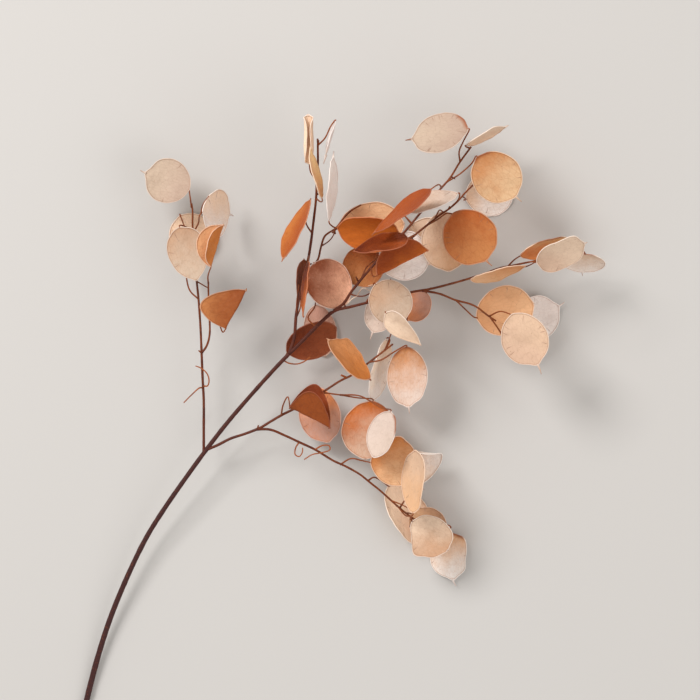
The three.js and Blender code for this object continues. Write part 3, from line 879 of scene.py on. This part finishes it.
    def build(self) -> tuple[bpy.types.Object, Matrix]:
        """Builds and dresses the pod.

        Returns:
            The piece, and the frame that it stands in.
        """
        bm = self.skin()
        self.add_style(bm)
        for side in (-1, 1):
            for rank in range(self.marks):
                self.add_seed_stalk(bm, side, rank)
        placed = self.frame_of()
        bmesh.ops.transform(bm, matrix=placed, verts=bm.verts)
        if self.rests:
            drop = Matrix.Translation((0.0, 0.0, -min(vert.co.z for vert in bm.verts)))
            bmesh.ops.transform(bm, matrix=drop, verts=bm.verts)
            placed = drop @ placed
        self.shade_layer(bm)
        piece = as_object(bm, "pod_" + self.name, self.finish.material("skin_" + self.name))
        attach(piece, "root")
        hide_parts(self.name)
        return piece, placed

    def stalk_end(self, placed: Matrix) -> list[Vector]:
        """Finds the last points of the stalk.

        Args:
            placed: the frame that the pod stands in.

        Returns:
            The pod's base, after a lead point where the stalk has to turn sharply.
        """
        half = self.size[0] / 2 * (1 + self.drawn_out(math.pi) - self.BASE[1])
        lift = self.relief(-half * MM, 0.0, 1.0)
        lead, base = (placed @ self.shaped(-(half + gap) * MM, 0.0, lift) for gap in self.LEADS)
        came = (base - on_plan(self.stalk[-1])).normalized()
        return [base] if came.dot((base - lead).normalized()) > self.SHARP_TURN else [lead, base]


# ---------------------------------------------------------------- stem


@dataclass(frozen=True)
class Twig:
    """A stretch of stem: its diameter in millimetres at its two ends, and its route in the plan.

    youth sets how young it looks, from 1 for a brown twig to 3 for a scrap of pale skin. Without it
    the girth decides.
    """

    girth: tuple[float, float]
    route: tuple[Place, ...]
    youth: float | None = None


@dataclass
class Stem:
    """The main stem with its branches, twigs, pod stalks and tendrils, all of one growth."""

    twigs: tuple[Twig, ...]
    bark: Bark = field(default_factory=Bark)
    step: float = 1.6 * MM
    stalk_girth: tuple[float, float] = (1.35, 1.0)

    # Twigs up to FINE millimetres have fewer sides, and all thinner than TRUNK swell at the foot: FOOT
    # is by how much and over how many steps. KNOTS is how uneven they are, in how many waves a metre.
    FINE = 2.5
    TRUNK = 5
    SIDES = (14, 9)
    FOOT = (0.22, 1.5)
    KNOTS = (0.08, 260)
    # Thin twigs look young: the youth of one without any radius, the millimetres of radius that take
    # one off, and the most that a girth gives.
    YOUTH = (2.3, 0.85, 1.9)
    # The height at which the stem's underside is cut flat.
    GROUND = 0.02 * MM

    def tube(self, bm: Mesh, stops: list[Vector], girth: tuple[float, float],
             youth: float | None) -> None:
        """Adds one tapered twig with slight swellings along it and at its foot.

        Args:
            bm: the stem's bmesh.
            stops: the points that the twig passes through.
            girth: its diameter in millimetres at its two ends.
            youth: how young it looks, or None where its girth decides.
        """
        points = smooth_curve(stops, self.step)
        last = len(points) - 1
        swelling, reach = self.FOOT
        radii = []
        for i, point in enumerate(points):
            plain = girth[0] + (girth[1] - girth[0]) * i / last
            foot = swelling * math.exp(-i / reach) if girth[0] < self.TRUNK else 0.0
            knot = self.KNOTS[0] * noise.noise(point * self.KNOTS[1])
            radii.append(plain / 2 * MM * (1 + foot + knot))
        young, fade, most = self.YOUTH
        ages = [max(0.0, min(most, young - r / (fade * MM))) if youth is None else youth for r in radii]
        sweep(bm, points, radii, self.SIDES[0] if girth[0] > self.FINE else self.SIDES[1], "youth", ages)

    def build(self, pods: list[tuple[Pod, Matrix]]) -> bpy.types.Object:
        """Builds the whole stem.

        Args:
            pods: every pod with the frame that it stands in.

        Returns:
            The stem's piece.
        """
        bm = bmesh.new()
        for twig in self.twigs:
            self.tube(bm, [on_plan(place) for place in twig.route], twig.girth, twig.youth)
        for pod, placed in pods:
            stops = [on_plan(place) for place in pod.stalk] + pod.stalk_end(placed)
            self.tube(bm, stops, self.stalk_girth, None)
        bmesh.ops.bisect_plane(bm, geom=[*bm.verts, *bm.edges, *bm.faces], plane_co=(0, 0, self.GROUND),
                               plane_no=(0, 0, -1), clear_outer=True)
        rims = [edge for edge in bm.edges if edge.is_boundary]
        if rims:
            bmesh.ops.holes_fill(bm, edges=rims)
        piece = as_object(bm, "stem_and_twigs", self.bark.material())
        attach(piece, "root")
        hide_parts("stem")
        return piece


# ---------------------------------------------------------------- studio


@dataclass(frozen=True)
class Lamp:
    """A square soft light: its place and side in metres, and its power in watts."""

    name: str
    place: tuple[float, float, float]
    size: float
    power: float

    def hang(self) -> None:
        """Hangs the light so that it faces the middle of the part."""
        data = bpy.data.lights.new(self.name, "AREA")
        data.size = self.size
        data.energy = self.power
        light = bpy.data.objects.new(self.name, data)
        light.location = self.place
        light.rotation_euler = (-Vector(self.place)).to_track_quat("-Z", "Y").to_euler()
        bpy.context.scene.collection.objects.link(light)


@dataclass
class Studio:
    """The pale floor, the soft lights and the camera that looks straight down on the stem.

    The camera hangs at height and sees view_width from side to side at view_distance below it. far is
    the end of its sight, and floor_half is half the floor's side.
    """

    height: float = 5.05
    view_width: float = 0.56
    view_distance: float = 5.0
    sensor: float = 36.0
    far: float = 20.0
    floor_half: float = 4.0
    lamps: tuple[Lamp, ...] = (Lamp("key", (-1.5, 1.6, 2.1), 1.1, 64),
                               Lamp("fill", (1.8, -0.8, 2.0), 2.0, 18))
    sky: tuple[float, float, float, float] = (0.97, 0.96, 0.94, 1.0)
    sky_strength: float = 0.68

    def camera(self) -> None:
        """Sets the camera over the middle of the plan, with the plan's top up."""
        data = bpy.data.cameras.new("camera")
        data.sensor_width = self.sensor
        data.lens = self.sensor * self.view_distance / self.view_width
        data.clip_end = self.far
        eye = bpy.data.objects.new("camera", data)
        eye.location = PLAN_SHIFT + Vector((0, 0, self.height))
        bpy.context.scene.collection.objects.link(eye)
        bpy.context.scene.camera = eye

    def floor(self) -> None:
        """Lays a wide plain floor under the stem."""
        bm = bmesh.new()
        bmesh.ops.create_grid(bm, x_segments=1, y_segments=1, size=self.floor_half)
        n = Nodes("floor")
        n.shader.inputs["Base Color"].default_value = Tone.FLOOR.linear()
        n.shader.inputs["Roughness"].default_value = 0.9
        n.shader.inputs["Specular IOR Level"].default_value = 0.1
        as_object(bm, "floor", n.material)

    def build(self) -> None:
        """Sets up floor, lights and the plain sky."""
        self.floor()
        for lamp in self.lamps:
            lamp.hang()
        world = bpy.data.worlds.new("studio")
        world.use_nodes = True
        background = world.node_tree.nodes["Background"]
        background.inputs["Color"].default_value = self.sky
        background.inputs["Strength"].default_value = self.sky_strength
        bpy.context.scene.world = world
        bpy.context.scene.view_settings.view_transform = "Standard"


# ---------------------------------------------------------------- tables

TWIGS = (
    # main stem
    Twig((5.2, 2.8), ((64, 792, 2.3), (75, 745, 2.4), (85, 700, 3.4), (97, 655, 6), (110, 616, 9),
        (129, 571, 13), (146, 537, 16), (163, 510, 19), (181, 484, 22), (205, 451, 25), (226, 424, 28),
        (250, 396, 32), (280, 363, 38), (303, 340, 42), (318, 325, 46), (332, 312, 49))),
    # right branch
    Twig((2.4, 1.5), ((329, 314, 48.5), (337, 310, 50), (350, 307, 52), (370, 302, 54), (392, 297, 55),
        (412, 292, 55), (430, 289, 54), (450, 284, 53), (471, 278, 52), (486, 273, 51), (500, 268, 50),
        (515, 265, 49))),
    # upper branch
    Twig((2.3, 1.5), ((334, 310.5, 49.5), (343, 304, 51), (352, 291, 53), (370, 269, 57), (388, 249, 59),
        (401, 236, 60), (418, 216, 60), (437, 193, 58), (450, 178, 56), (460, 162, 54), (471, 147, 52))),
    # fan twig
    Twig((1.9, 1.4), ((392, 245, 59.3), (408, 240, 60), (420, 231, 61), (430, 223, 62), (440, 215, 62),
        (449, 209, 61), (457, 202, 58), (465, 193, 52), (473, 185, 46))),
    # right low twig
    Twig((1.9, 1.4), ((422, 290.5, 54.4), (440, 294, 54.5), (455, 300, 55), (470, 304, 55), (478, 308, 55),
        (487, 315, 54), (496, 321, 53))),
    # tall branch
    Twig((2.6, 1.7), ((289, 354, 39.8), (294, 338, 41), (296, 316, 42), (298.5, 300, 42), (302, 285, 42),
        (306.5, 268, 43), (310.5, 245, 48), (313.5, 222, 53), (316, 200, 57), (317, 180, 61),
        (318, 162, 64), (318, 145, 67), (318.5, 141, 68))),
    # middle twig
    Twig((1.8, 1.3), ((306, 270, 42.9), (313, 266, 43), (318, 259, 45), (321, 247, 48), (325, 236, 51),
        (336, 228, 54), (343, 219, 56), (351, 211, 57), (361, 205, 57))),
    # left branch
    Twig((2.3, 1.5), ((203, 454, 24.7), (203, 430, 25), (203, 400, 26), (202, 380, 27), (201, 355, 28),
        (200, 330, 29), (198, 300, 30), (196, 280, 30), (194, 250, 31), (192, 226, 32), (192, 210, 33),
        (191, 203, 34))),
    # left side twig
    Twig((1.8, 1.4), ((201, 353, 28.1), (206, 346, 29), (209, 335, 30), (209, 318, 31), (208, 295, 33),
        (208, 282, 39))),
    # low branch
    Twig((2.4, 1.5), ((206, 450, 25.2), (216, 446, 26), (230, 439, 27), (245, 434, 28), (260, 428, 29),
        (270, 422, 30), (282, 415, 31), (302, 405, 34), (326, 390, 38), (340, 381, 40), (352, 375, 42),
        (367, 364, 44), (380, 354, 46), (393, 344, 47))),
    # bottom branch
    Twig((2.1, 1.5), ((256, 429.6, 28.7), (270, 430, 29), (285, 436, 29), (300, 443, 29), (315, 450, 29),
        (333, 461, 28), (346, 467, 28), (360, 475, 27), (370, 483, 26), (380, 491, 25), (390, 500, 24),
        (400, 509, 22), (414, 520, 20))),
    # tendrils
    Twig((1.2, 0.9), ((202.2, 386, 26.9), (207, 386, 29.5), (208.5, 380, 31), (206, 373, 31.5),
        (200, 368, 31), (195, 366, 30)), 1.9),
    Twig((1.2, 0.9), ((202.4, 388, 26.7), (199, 388, 29), (192, 394, 29), (183, 403, 27)), 1.9),
    Twig((1.2, 0.9), ((299, 442.6, 29), (295.5, 448, 30), (295, 455, 31), (299, 457, 31.5), (302, 453, 32),
        (302.5, 448, 32)), 1.9),
    Twig((1.2, 0.9), ((315, 450, 29), (322, 446, 31), (329, 446, 32.5), (330, 450, 33), (322, 453, 32.5),
        (312, 455, 31.5), (304, 460, 31)), 1.9),
    Twig((1.2, 0.9), ((283, 360, 38.3), (288, 363, 37), (297, 364, 36), (305, 361, 36),
        (311, 356, 36)), 1.9),
    # fine twigs that only show close to
    Twig((1.1, 0.9), ((196, 281, 30.5), (202, 284.5, 33), (208, 288, 36)), 1.6),
    Twig((0.9, 0.6), ((201, 213, 55), (203, 205, 58), (209, 196, 56)), 1.7),
    Twig((1.1, 0.9), ((321.5, 246, 48.3), (329, 241, 50.5), (333, 236, 52.5), (335.5, 230, 54)), 1.3),
    Twig((1.1, 0.9), ((296, 318, 42.3), (296.8, 300, 43.5), (299, 284, 43.5)), 1.3),
    Twig((1.2, 0.9), ((385, 350, 46.6), (388, 342, 47.5), (391, 334, 47)), 1.2),
    Twig((1.2, 0.9), ((350, 294, 52.8), (357, 296, 54), (364, 296, 55), (374, 291, 56), (383, 285, 57),
        (391, 279, 56)), 1.2),
    # scraps of pale skin
    Twig((0.9, 0.5), ((357, 296, 54), (363, 288, 56), (369, 290.5, 57), (374, 293, 56.5)), 2.8),
    Twig((0.9, 0.5), ((383, 285, 57), (375, 284.5, 57), (368, 286, 56.5)), 3),
    Twig((1.1, 0.6), ((347, 304, 51.8), (352, 299, 53.5), (357, 296, 54.3)), 3),
    Twig((1.7, 0.9), ((372, 294, 56.5), (377, 289.5, 61), (383, 286, 64), (391, 282, 65.5)), 3),
    # short twigs at the ends
    Twig((1.1, 0.9), ((392, 501.5, 24), (401, 505, 26.5), (411, 510, 29)), 1.7),
    Twig((1.1, 0.9), ((412, 518.5, 20.3), (411.5, 523, 22), (410, 528, 23.5)), 1.2),
    Twig((1.1, 0.8), ((514, 265.2, 49), (524, 267, 50.5), (531, 264.5, 51.5), (537, 261, 52)), 1.2),
    # nubs
    Twig((1.5, 1.2), ((316.3, 195, 57.5), (319.5, 193.5, 58.5)), 1),
    Twig((1.6, 1.3), ((318, 143, 67.4), (317.6, 139.5, 68.4)), 1.2),
    Twig((1.7, 1.4), ((346, 377.5, 41), (341, 375, 42.5)), 1.8),
    Twig((1.3, 1), ((358, 281, 54.8), (356, 277, 56.5)), 1),
    Twig((1.3, 1), ((307, 266, 43.6), (311.5, 263.5, 45)), 1),
    Twig((1.4, 1.1), ((412, 239, 60.4), (415.5, 243.5, 60.5)), 1),
    Twig((1.4, 1.1), ((334, 230, 53.5), (335.5, 234, 52.5)), 1),
    Twig((1.4, 1.1), ((257, 430, 28.8), (258, 425.5, 30)), 1.2),
    Twig((1.4, 1.1), ((451, 177, 55.9), (455, 179, 56)), 1),
    Twig((1.3, 1), ((448, 210, 61), (449.5, 206.5, 61.5)), 1.5),
    Twig((1.4, 1), ((201, 353, 28.4), (198, 350.5, 29.5)), 1.4),
)

PODS = (
    # left spray
    Pod("left_tip", (168, 181, 38), (36, 37), (160, 0, 8), (0, 15),
        ((191, 207, 33.4),), Slot.CREAM, Finish(Tone.FAWN, Tone.DUN, 148, 0.65), style=6.2, marks=1,
        point=0.13, lean=-0.6, swell=(0.45, 60, 13, -2)),
    Pod("left_front", (188, 253, 46), (43, 34), (287, 0, 22), (0, 15),
        ((193, 236, 31.6), (188, 228, 36)), Slot.TAN, Finish(Tone.FAWN, Tone.SAND, -68, 0.65), marks=3,
        fullness=-0.1, point=0.09),
    Pod("left_back", (190, 235, 12), (38, 38), (298, 8, 6), (0, 10),
        ((198, 299, 30), (189, 290, 26), (185, 270, 20), (187, 240, 14)), Slot.CREAM,
        Finish(Tone.BUTTER, Tone.SAND, 85), marks=1, rests=True),
    Pod("left_side", (216, 212.5, 34), (42, 39), (-4, -61, 0), (0, 15),
        ((193, 232, 31.8), (198, 223, 40), (200, 215, 54)), Slot.CREAM, Finish(Tone.MILK, Tone.BUTTER, -81),
        style=7, marks=2, lean=-1),
    Pod("left_fold", (217.5, 246.5, 64), (34, 34), (72, 0, 8), (0, 2),
        ((208, 284, 38.2), (208, 276, 50)), Slot.ORANGE,
        Finish(Tone.APRICOT, Tone.APRICOT, 130, reverse=Tone.HONEY), fold=(-138, 0.8)),
    Pod("left_low", (236, 311, 54), (37, 51), (63, 0, 4), (0, 2),
        ((208.8, 312, 31.5), (217, 318, 41), (222.5, 332, 46)), Slot.ORANGE,
        Finish(Tone.CARAMEL, Tone.BRICK, 173, 0.35), fullness=-0.5, fold=(150, 0.35),
        edge=((180, -0.12, 18), (0, -0.04, 20))),
    # tall spray
    Pod("tall_rolled", (308.8, 140.5, 72), (38, 20), (91, 0, 0), (0, 320),
        ((316, 180, 60.6), (311, 173, 64)), Slot.CREAM, Finish(Tone.BUTTER, Tone.CREAM, 180, 0.6),
        square=3),
    Pod("tall_edge", (331, 139.5, 74), (28, 30), (254, 0, 86), (0, 8),
        ((318, 146, 66.8), (325, 139, 69), (331, 127, 72)), Slot.WHITE, Finish(Tone.SNOW, Tone.PEARL, 163),
        style=7),
    Pod("tall_front", (316, 175.5, 92), (39, 34), (104, 0, 79), (0, 15),
        ((316.5, 199, 57.2), (320, 202, 68)), Slot.PEACH, Finish(Tone.GOLD, Tone.APRICOT, 21, 0.65),
        style=3, point=0.1),
    Pod("tall_slim", (331.5, 191, 80), (48, 34), (87, 0, 78), (0, 10),
        ((336, 228, 54), (333, 227, 64)), Slot.CREAM, Finish(Tone.MILK, Tone.MILK, 174), style=7,
        fullness=0.35, point=0.1, lean=-0.8),
    Pod("tall_left", (297.5, 229.5, 70), (50, 38), (244, 0, 72), (0, 20),
        ((312.5, 234, 50.4), (306, 223, 52), (307, 208, 58)), Slot.ORANGE,
        Finish(Tone.HONEY, Tone.COPPER, 155, 0.4), style=4),
    # middle spray
    Pod("mid_arch", (371, 226, 50), (51, 39), (4, 0, 6), (0, 15),
        ((333, 230.2, 53.1),), Slot.PEACH, Finish(Tone.PEACH, Tone.APRICOT, 65, 0.6), marks=2),
    Pod("mid_orange", (368, 232.5, 76), (48, 40), (353, 0, 45), (0, 40),
        ((332, 231, 52.9), (333, 233, 62)), Slot.ORANGE, Finish(Tone.AMBER, Tone.AMBER, -87)),
    Pod("mid_cigar", (403, 212, 105), (54, 36), (217, 0, 72), (0, 20),
        ((441.5, 188, 57.4), (438.5, 185.5, 76)), Slot.ORANGE, Finish(Tone.COPPER, Tone.RUST, 150, 0.6),
        style=5, fullness=-0.25, lean=1.8),
    Pod("mid_dark", (381, 245.5, 100), (43, 36), (192, 0, 66), (0, 15),
        ((413, 236.6, 60.4), (417, 234, 82)), Slot.DARK, Finish(Tone.COPPER, Tone.UMBER, 10, 0.45),
        fullness=-0.35),
    Pod("mid_rust", (402, 264, 80), (44, 38), (26, 0, 6), (0, 2),
        ((371, 268, 57.2), (372, 275, 66)), Slot.RUST, Finish(Tone.AMBER, Tone.RUST, -46, 0.35),
        fold=(140, 0.8)),
    Pod("mid_white", (404, 256, 42), (41, 40), (20, 0, 6), (0, 10),
        ((377, 260.5, 57.9), (374, 264, 48)), Slot.WHITE, Finish(Tone.MILK, Tone.OAT, -8, 0.6), marks=1),
    Pod("mid_brown", (364, 266, 34), (33, 34), (235, 0, 8), (0, 10),
        ((361, 280, 54.6), (366, 268, 52), (376, 258, 44)), Slot.ORANGE,
        Finish(Tone.CARAMEL, Tone.COPPER, -120, 0.6), marks=1),
    Pod("mid_pink", (329, 284, 46), (42, 37), (125, 0, 10), (0, 15),
        ((344, 303, 51.3),), Slot.PINK, Finish(Tone.BLUSH, Tone.SIENNA, -24), style=0.6, point=0,
        swell=(1, 0, 7, 1)),
    Pod("mid_shade", (302, 280, 30), (32, 32), (85, 0, 70), (0, 10),
        ((296, 318, 42), (300, 308, 36)), Slot.DARK, Finish(Tone.BRICK, Tone.UMBER, 45)),
    Pod("mid_strip", (306, 289, 70), (43, 36), (264, 0, 84), (0, 5),
        ((307, 261, 44), (309, 256, 56)), Slot.ORANGE, Finish(Tone.AMBER, Tone.UMBER, -15)),
    Pod("mid_low_back", (320, 330, 8), (41, 27), (280, 0, 8), (0, 10),
        ((316, 327, 45.4), (308, 318, 36), (314, 308, 26)), Slot.PINK,
        Finish(Tone.LINEN, Tone.ROSE, -80, 0.45), marks=2, rests=True),
    Pod("mid_low_front", (311, 340, 26), (43, 38), (27, 0, 42), (0, 30),
        ((283, 360, 38.3), (284, 358, 34)), Slot.DARK, Finish(Tone.SIENNA, Tone.CHESTNUT, -33, 0.6)),
    # spray at the fork
    Pod("fork_round", (390, 301.5, 66), (36, 35), (310, 0, 8), (0, 15),
        ((366, 303, 53.6), (372, 292, 58)), Slot.CREAM, Finish(Tone.FAWN, Tone.SAND, -38, 0.7), marks=3),
    Pod("fork_white", (383, 308.5, 44), (40, 27), (246, 0, 20), (0, 20),
        ((376, 300.5, 54.2), (380, 290, 50)), Slot.WHITE, Finish(Tone.OAT, Tone.DUN, -148), style=7,
        marks=2),
    Pod("fork_leaf", (402.5, 328.5, 78), (36, 20), (317, 0, 42), (0, 25),
        ((398, 295.8, 55), (406, 312, 56), (406, 324, 62), (396, 320, 71)), Slot.CREAM,
        Finish(Tone.IVORY, Tone.CREAM, 97, 0.7), style=2, fullness=-0.5, point=0.12),
    Pod("fork_side", (417.5, 306, 40), (26, 23), (236, 0, 10), (0, 15),
        ((433, 288.5, 53.8), (430, 288.5, 47)), Slot.PINK, Finish(Tone.SALMON, Tone.ROSE, -174, 0.4)),
    # low branch
    Pod("low_slim", (379.5, 370, 25), (50, 34), (256, 0, -65), (0, 15),
        ((384, 351, 46.4), (388, 345, 42), (390, 340, 36)), Slot.WHITE, Finish(Tone.MILK, Tone.BUTTER, -59),
        style=7, marks=2),
    Pod("low_round", (408, 376, 40), (46, 34), (272, 0, 12), (0, 20),
        ((370, 362, 44.5), (381, 360, 46), (394, 352, 47)), Slot.CREAM,
        Finish(Tone.SHELL, Tone.TAN, -70, 0.6), style=7, marks=2, point=0.1, stain=(150, 235),
        edge=((-29, 0.07, 20), (58, -0.06, 25))),
    Pod("low_tilted", (349, 360, 62), (44, 36), (135, 0, 61), (0, 20),
        ((362, 368, 43.2), (368, 378, 52)), Slot.ORANGE, Finish(Tone.TAN, Tone.HONEY, 92, 0.55), style=3,
        edge=((-62, 0.22, 14), (77, -0.18, 30), (-120, -0.08, 15))),
    Pod("low_fold", (309.5, 417.5, 48), (35, 48), (333, 0, -8), (0, 2),
        ((281, 415.5, 30.9), (283, 405, 40), (288, 397, 50)), Slot.RUST,
        Finish(Tone.RUST, Tone.UMBER, 0, 0.35, reverse=Tone.BRICK), fullness=-0.45, fold=(-145, 0.85)),
    Pod("low_pink", (320, 414.5, 22), (45, 36), (286, 0, 20), (0, 20),
        ((322, 392.6, 37.4), (318, 388, 32)), Slot.PINK, Finish(Tone.ROSE, Tone.SALMON, -84, 0.7), marks=2,
        point=0.07),
    Pod("low_amber", (369, 430, 32), (46, 44), (262, 0, 8), (0, 20),
        ((322, 392.6, 37.4), (340, 395, 38), (358, 398, 37)), Slot.ORANGE,
        Finish(Tone.LINEN, Tone.AMBER, -70, 0.55), marks=1, stain=(105, 185), edge=((40, -0.05, 16),)),
    Pod("low_pearl", (383, 433, 52), (36, 30), (250, 0, 42), (0, 20),
        ((340, 395, 38), (360, 396, 44), (382, 408, 52)), Slot.WHITE,
        Finish(Tone.SHELL, Tone.OAT, 110, 0.6), stain=(90, 170), edge=((0, 0.12, 30),)),
    # bottom branch
    Pod("bottom_tan", (394, 461.5, 34), (37, 42), (5, 0, 20), (0, 30),
        ((340, 465.2, 27.9), (351, 459, 31), (362, 461, 34)), Slot.ORANGE,
        Finish(Tone.PEACH, Tone.HONEY, -60, 0.55), marks=1, edge=((72, 0.13, 15),)),
    Pod("bottom_peach", (414.5, 482, 54), (49, 36), (87, 0, -60), (0, 25),
        ((398, 507.2, 22.4), (406, 516, 38)), Slot.PEACH, Finish(Tone.PEACH, Tone.CREAM, -110), marks=2),
    Pod("bottom_corner", (421, 461, 16), (42, 35), (270, -48, 0), (90, 100),
        ((400, 509, 22), (415, 484, 26), (422, 462, 36)), Slot.CREAM, Finish(Tone.MILK, Tone.BUTTER, 21),
        style=6, fullness=-0.2, lean=3),
    Pod("bottom_long", (407, 516, 14), (54, 38), (300, 0, -34), (0, 75),
        ((368, 481.4, 26.2), (374, 478, 22)), Slot.CREAM, Finish(Tone.BUTTER, Tone.BUTTER, 60), marks=2,
        rests=True),
    Pod("bottom_shade", (428, 526, 13), (32, 29), (325, 0, 4), (0, 10),
        ((408, 515, 20.8), (408, 514, 14)), Slot.TAN, Finish(Tone.PEACH, Tone.SAND, -150), marks=2),
    Pod("bottom_face", (430, 536, 34), (36, 34), (320, 0, 12), (0, 20),
        ((412, 518.4, 20.3), (411, 520, 28)), Slot.CREAM, Finish(Tone.IVORY, Tone.SAND, 100), marks=1,
        edge=((-89, 0.2, 16), (-135, -0.12, 25), (35, 0.05, 20))),
    Pod("bottom_tip", (450.5, 557, 20), (37, 33), (278, 0, 14), (0, 20),
        ((414, 520, 20), (430, 523, 21), (450.5, 527, 19)), Slot.CREAM,
        Finish(Tone.MILK, Tone.PEACH, -88, 0.6), style=7, marks=1, rests=True, point=0.12, lean=1.8,
        stain=(120, 185), edge=((124, 0.14, 16), (72, -0.18, 26))),
    # top right spray
    Pod("top_pale", (440.5, 134, 58), (45, 43), (190, -15, 42), (0, 10),
        ((460, 162, 54), (459, 152, 55), (463, 142, 57)), Slot.CREAM,
        Finish(Tone.FAWN, Tone.DUN, 172, beak=0.8), style=7, marks=6, point=0.09, stain=(175, 238), lean=0),
    Pod("top_slim", (485, 136, 56), (33, 30), (26, 0, 78), (0, 10),
        ((470, 148.5, 52.2),), Slot.TAN, Finish(Tone.IVORY, Tone.BUTTER, 110), style=4, point=0.1),
    Pod("top_tan", (496, 177, 64), (43, 40), (314, 0, 8), (0, 15),
        ((447, 182, 56.4), (460, 174, 57), (472, 163, 60)), Slot.PEACH,
        Finish(Tone.WHEAT, Tone.CARAMEL, -50, 0.65), style=7, marks=3, point=0.07, stain=(140, 200)),
    Pod("top_white", (490.5, 192, 20), (38, 38), (15, 0, 10), (0, 10),
        ((462, 196.5, 54), (466, 198, 30)), Slot.WHITE, Finish(Tone.MILK, Tone.CREAM, -10, 0.65), marks=1,
        rests=True),
    Pod("top_long", (432, 203, 78), (42, 35), (200, 0, 66), (0, 15),
        ((452, 206.5, 60), (458, 200, 68)), Slot.CREAM, Finish(Tone.OAT, Tone.SAND, 38), marks=2),
    # right spray
    Pod("right_orange", (469, 237, 74), (45, 44), (305, 0, 8), (0, 15),
        ((426, 226, 61.6), (437, 220, 66), (446, 214, 70)), Slot.ORANGE,
        Finish(Tone.CARAMEL, Tone.COPPER, -60, 0.65), style=7, marks=5, stain=(160, 190), point=0.06,
        lean=1.2),
    Pod("right_peach", (446, 241, 48.5), (47, 40), (275, 0, 10), (0, 15),
        ((434, 220, 62), (440, 210, 52)), Slot.PEACH, Finish(Tone.BUTTER, Tone.PEACH, 160, 0.45), marks=1),
    Pod("right_pale", (430.5, 240, 32), (39, 39), (320, 0, 10), (0, 10),
        ((411.5, 223.5, 60), (405, 216, 46)), Slot.WHITE, Finish(Tone.IVORY, Tone.BUTTER, 120), marks=2),
    Pod("right_slim", (497.5, 273, 60), (44, 34), (13, 0, 76), (0, 10),
        ((464, 280, 52.2), (469, 279, 56)), Slot.TAN, Finish(Tone.PEACH, Tone.TAN, -104), fullness=-0.2),
    Pod("right_edge", (545, 248, 50), (41, 36), (17, 0, 65), (0, 15),
        ((508, 266.4, 49.5), (514, 260, 49)), Slot.ORANGE, Finish(Tone.GOLD, Tone.SALMON, 91, 0.3),
        stain=(30, 120)),
    Pod("right_fold", (560, 254, 68), (40, 36), (22, 0, 44), (0, 20),
        ((514, 265.2, 49), (530, 262, 60)), Slot.CREAM, Finish(Tone.IVORY, Tone.LINEN, 60, 0.6), style=3,
        marks=1, edge=((90, -0.22, 30), (278, -0.16, 30), (43, 0.06, 13), (220, 0.08, 18))),
    Pod("right_flat", (584.5, 261, 38), (36, 35), (266, -64, 0), (0, 15),
        ((515, 265, 49), (538, 260, 46), (562, 252, 44), (579, 247, 50)), Slot.CREAM,
        Finish(Tone.MILK, Tone.CREAM, -91), style=7, marks=1, stain=(140, 225), edge=((180, -0.25, 32),)),
    Pod("right_amber", (505, 311, 42), (46, 41), (14, 0, 8), (0, 15),
        ((456, 300.4, 55), (466, 310, 50), (474, 317, 45)), Slot.PEACH,
        Finish(Tone.PEACH, Tone.APRICOT, -10), marks=5),
    Pod("right_white", (537.5, 318, 28), (39, 36), (28, 0, 10), (0, 10),
        ((490, 317, 53.7), (499, 330, 52), (507, 343, 44), (514, 344, 22)), Slot.WHITE,
        Finish(Tone.MILK, Tone.PEARL, -135, 0.65), style=7, marks=2, rests=True, point=0.12, lean=0.8),
    Pod("right_front", (524, 338.5, 66), (43, 38), (297, 0, 10), (0, 15),
        ((489, 316.3, 53.8), (500, 311.5, 60)), Slot.CREAM, Finish(Tone.CREAM, Tone.LINEN, 57, 0.6),
        style=10, marks=4, point=0.12, lean=-1, swell=(0.35, 146, 13, 2.6)),
)


def main() -> None:
    """Builds the studio, the pods and the stem, and reports each piece."""
    logging.basicConfig(level=logging.INFO, format="%(message)s")
    studio = Studio()
    studio.camera()
    standing = []
    for pod in PODS:
        piece, placed = pod.build()
        standing.append((pod, placed))
        log.info("%s: %d faces", piece.name, len(piece.data.polygons))
    stem = Stem(TWIGS).build(standing)
    log.info("%s: %d faces", stem.name, len(stem.data.polygons))
    studio.build()


if __name__ == "__main__":
    main()
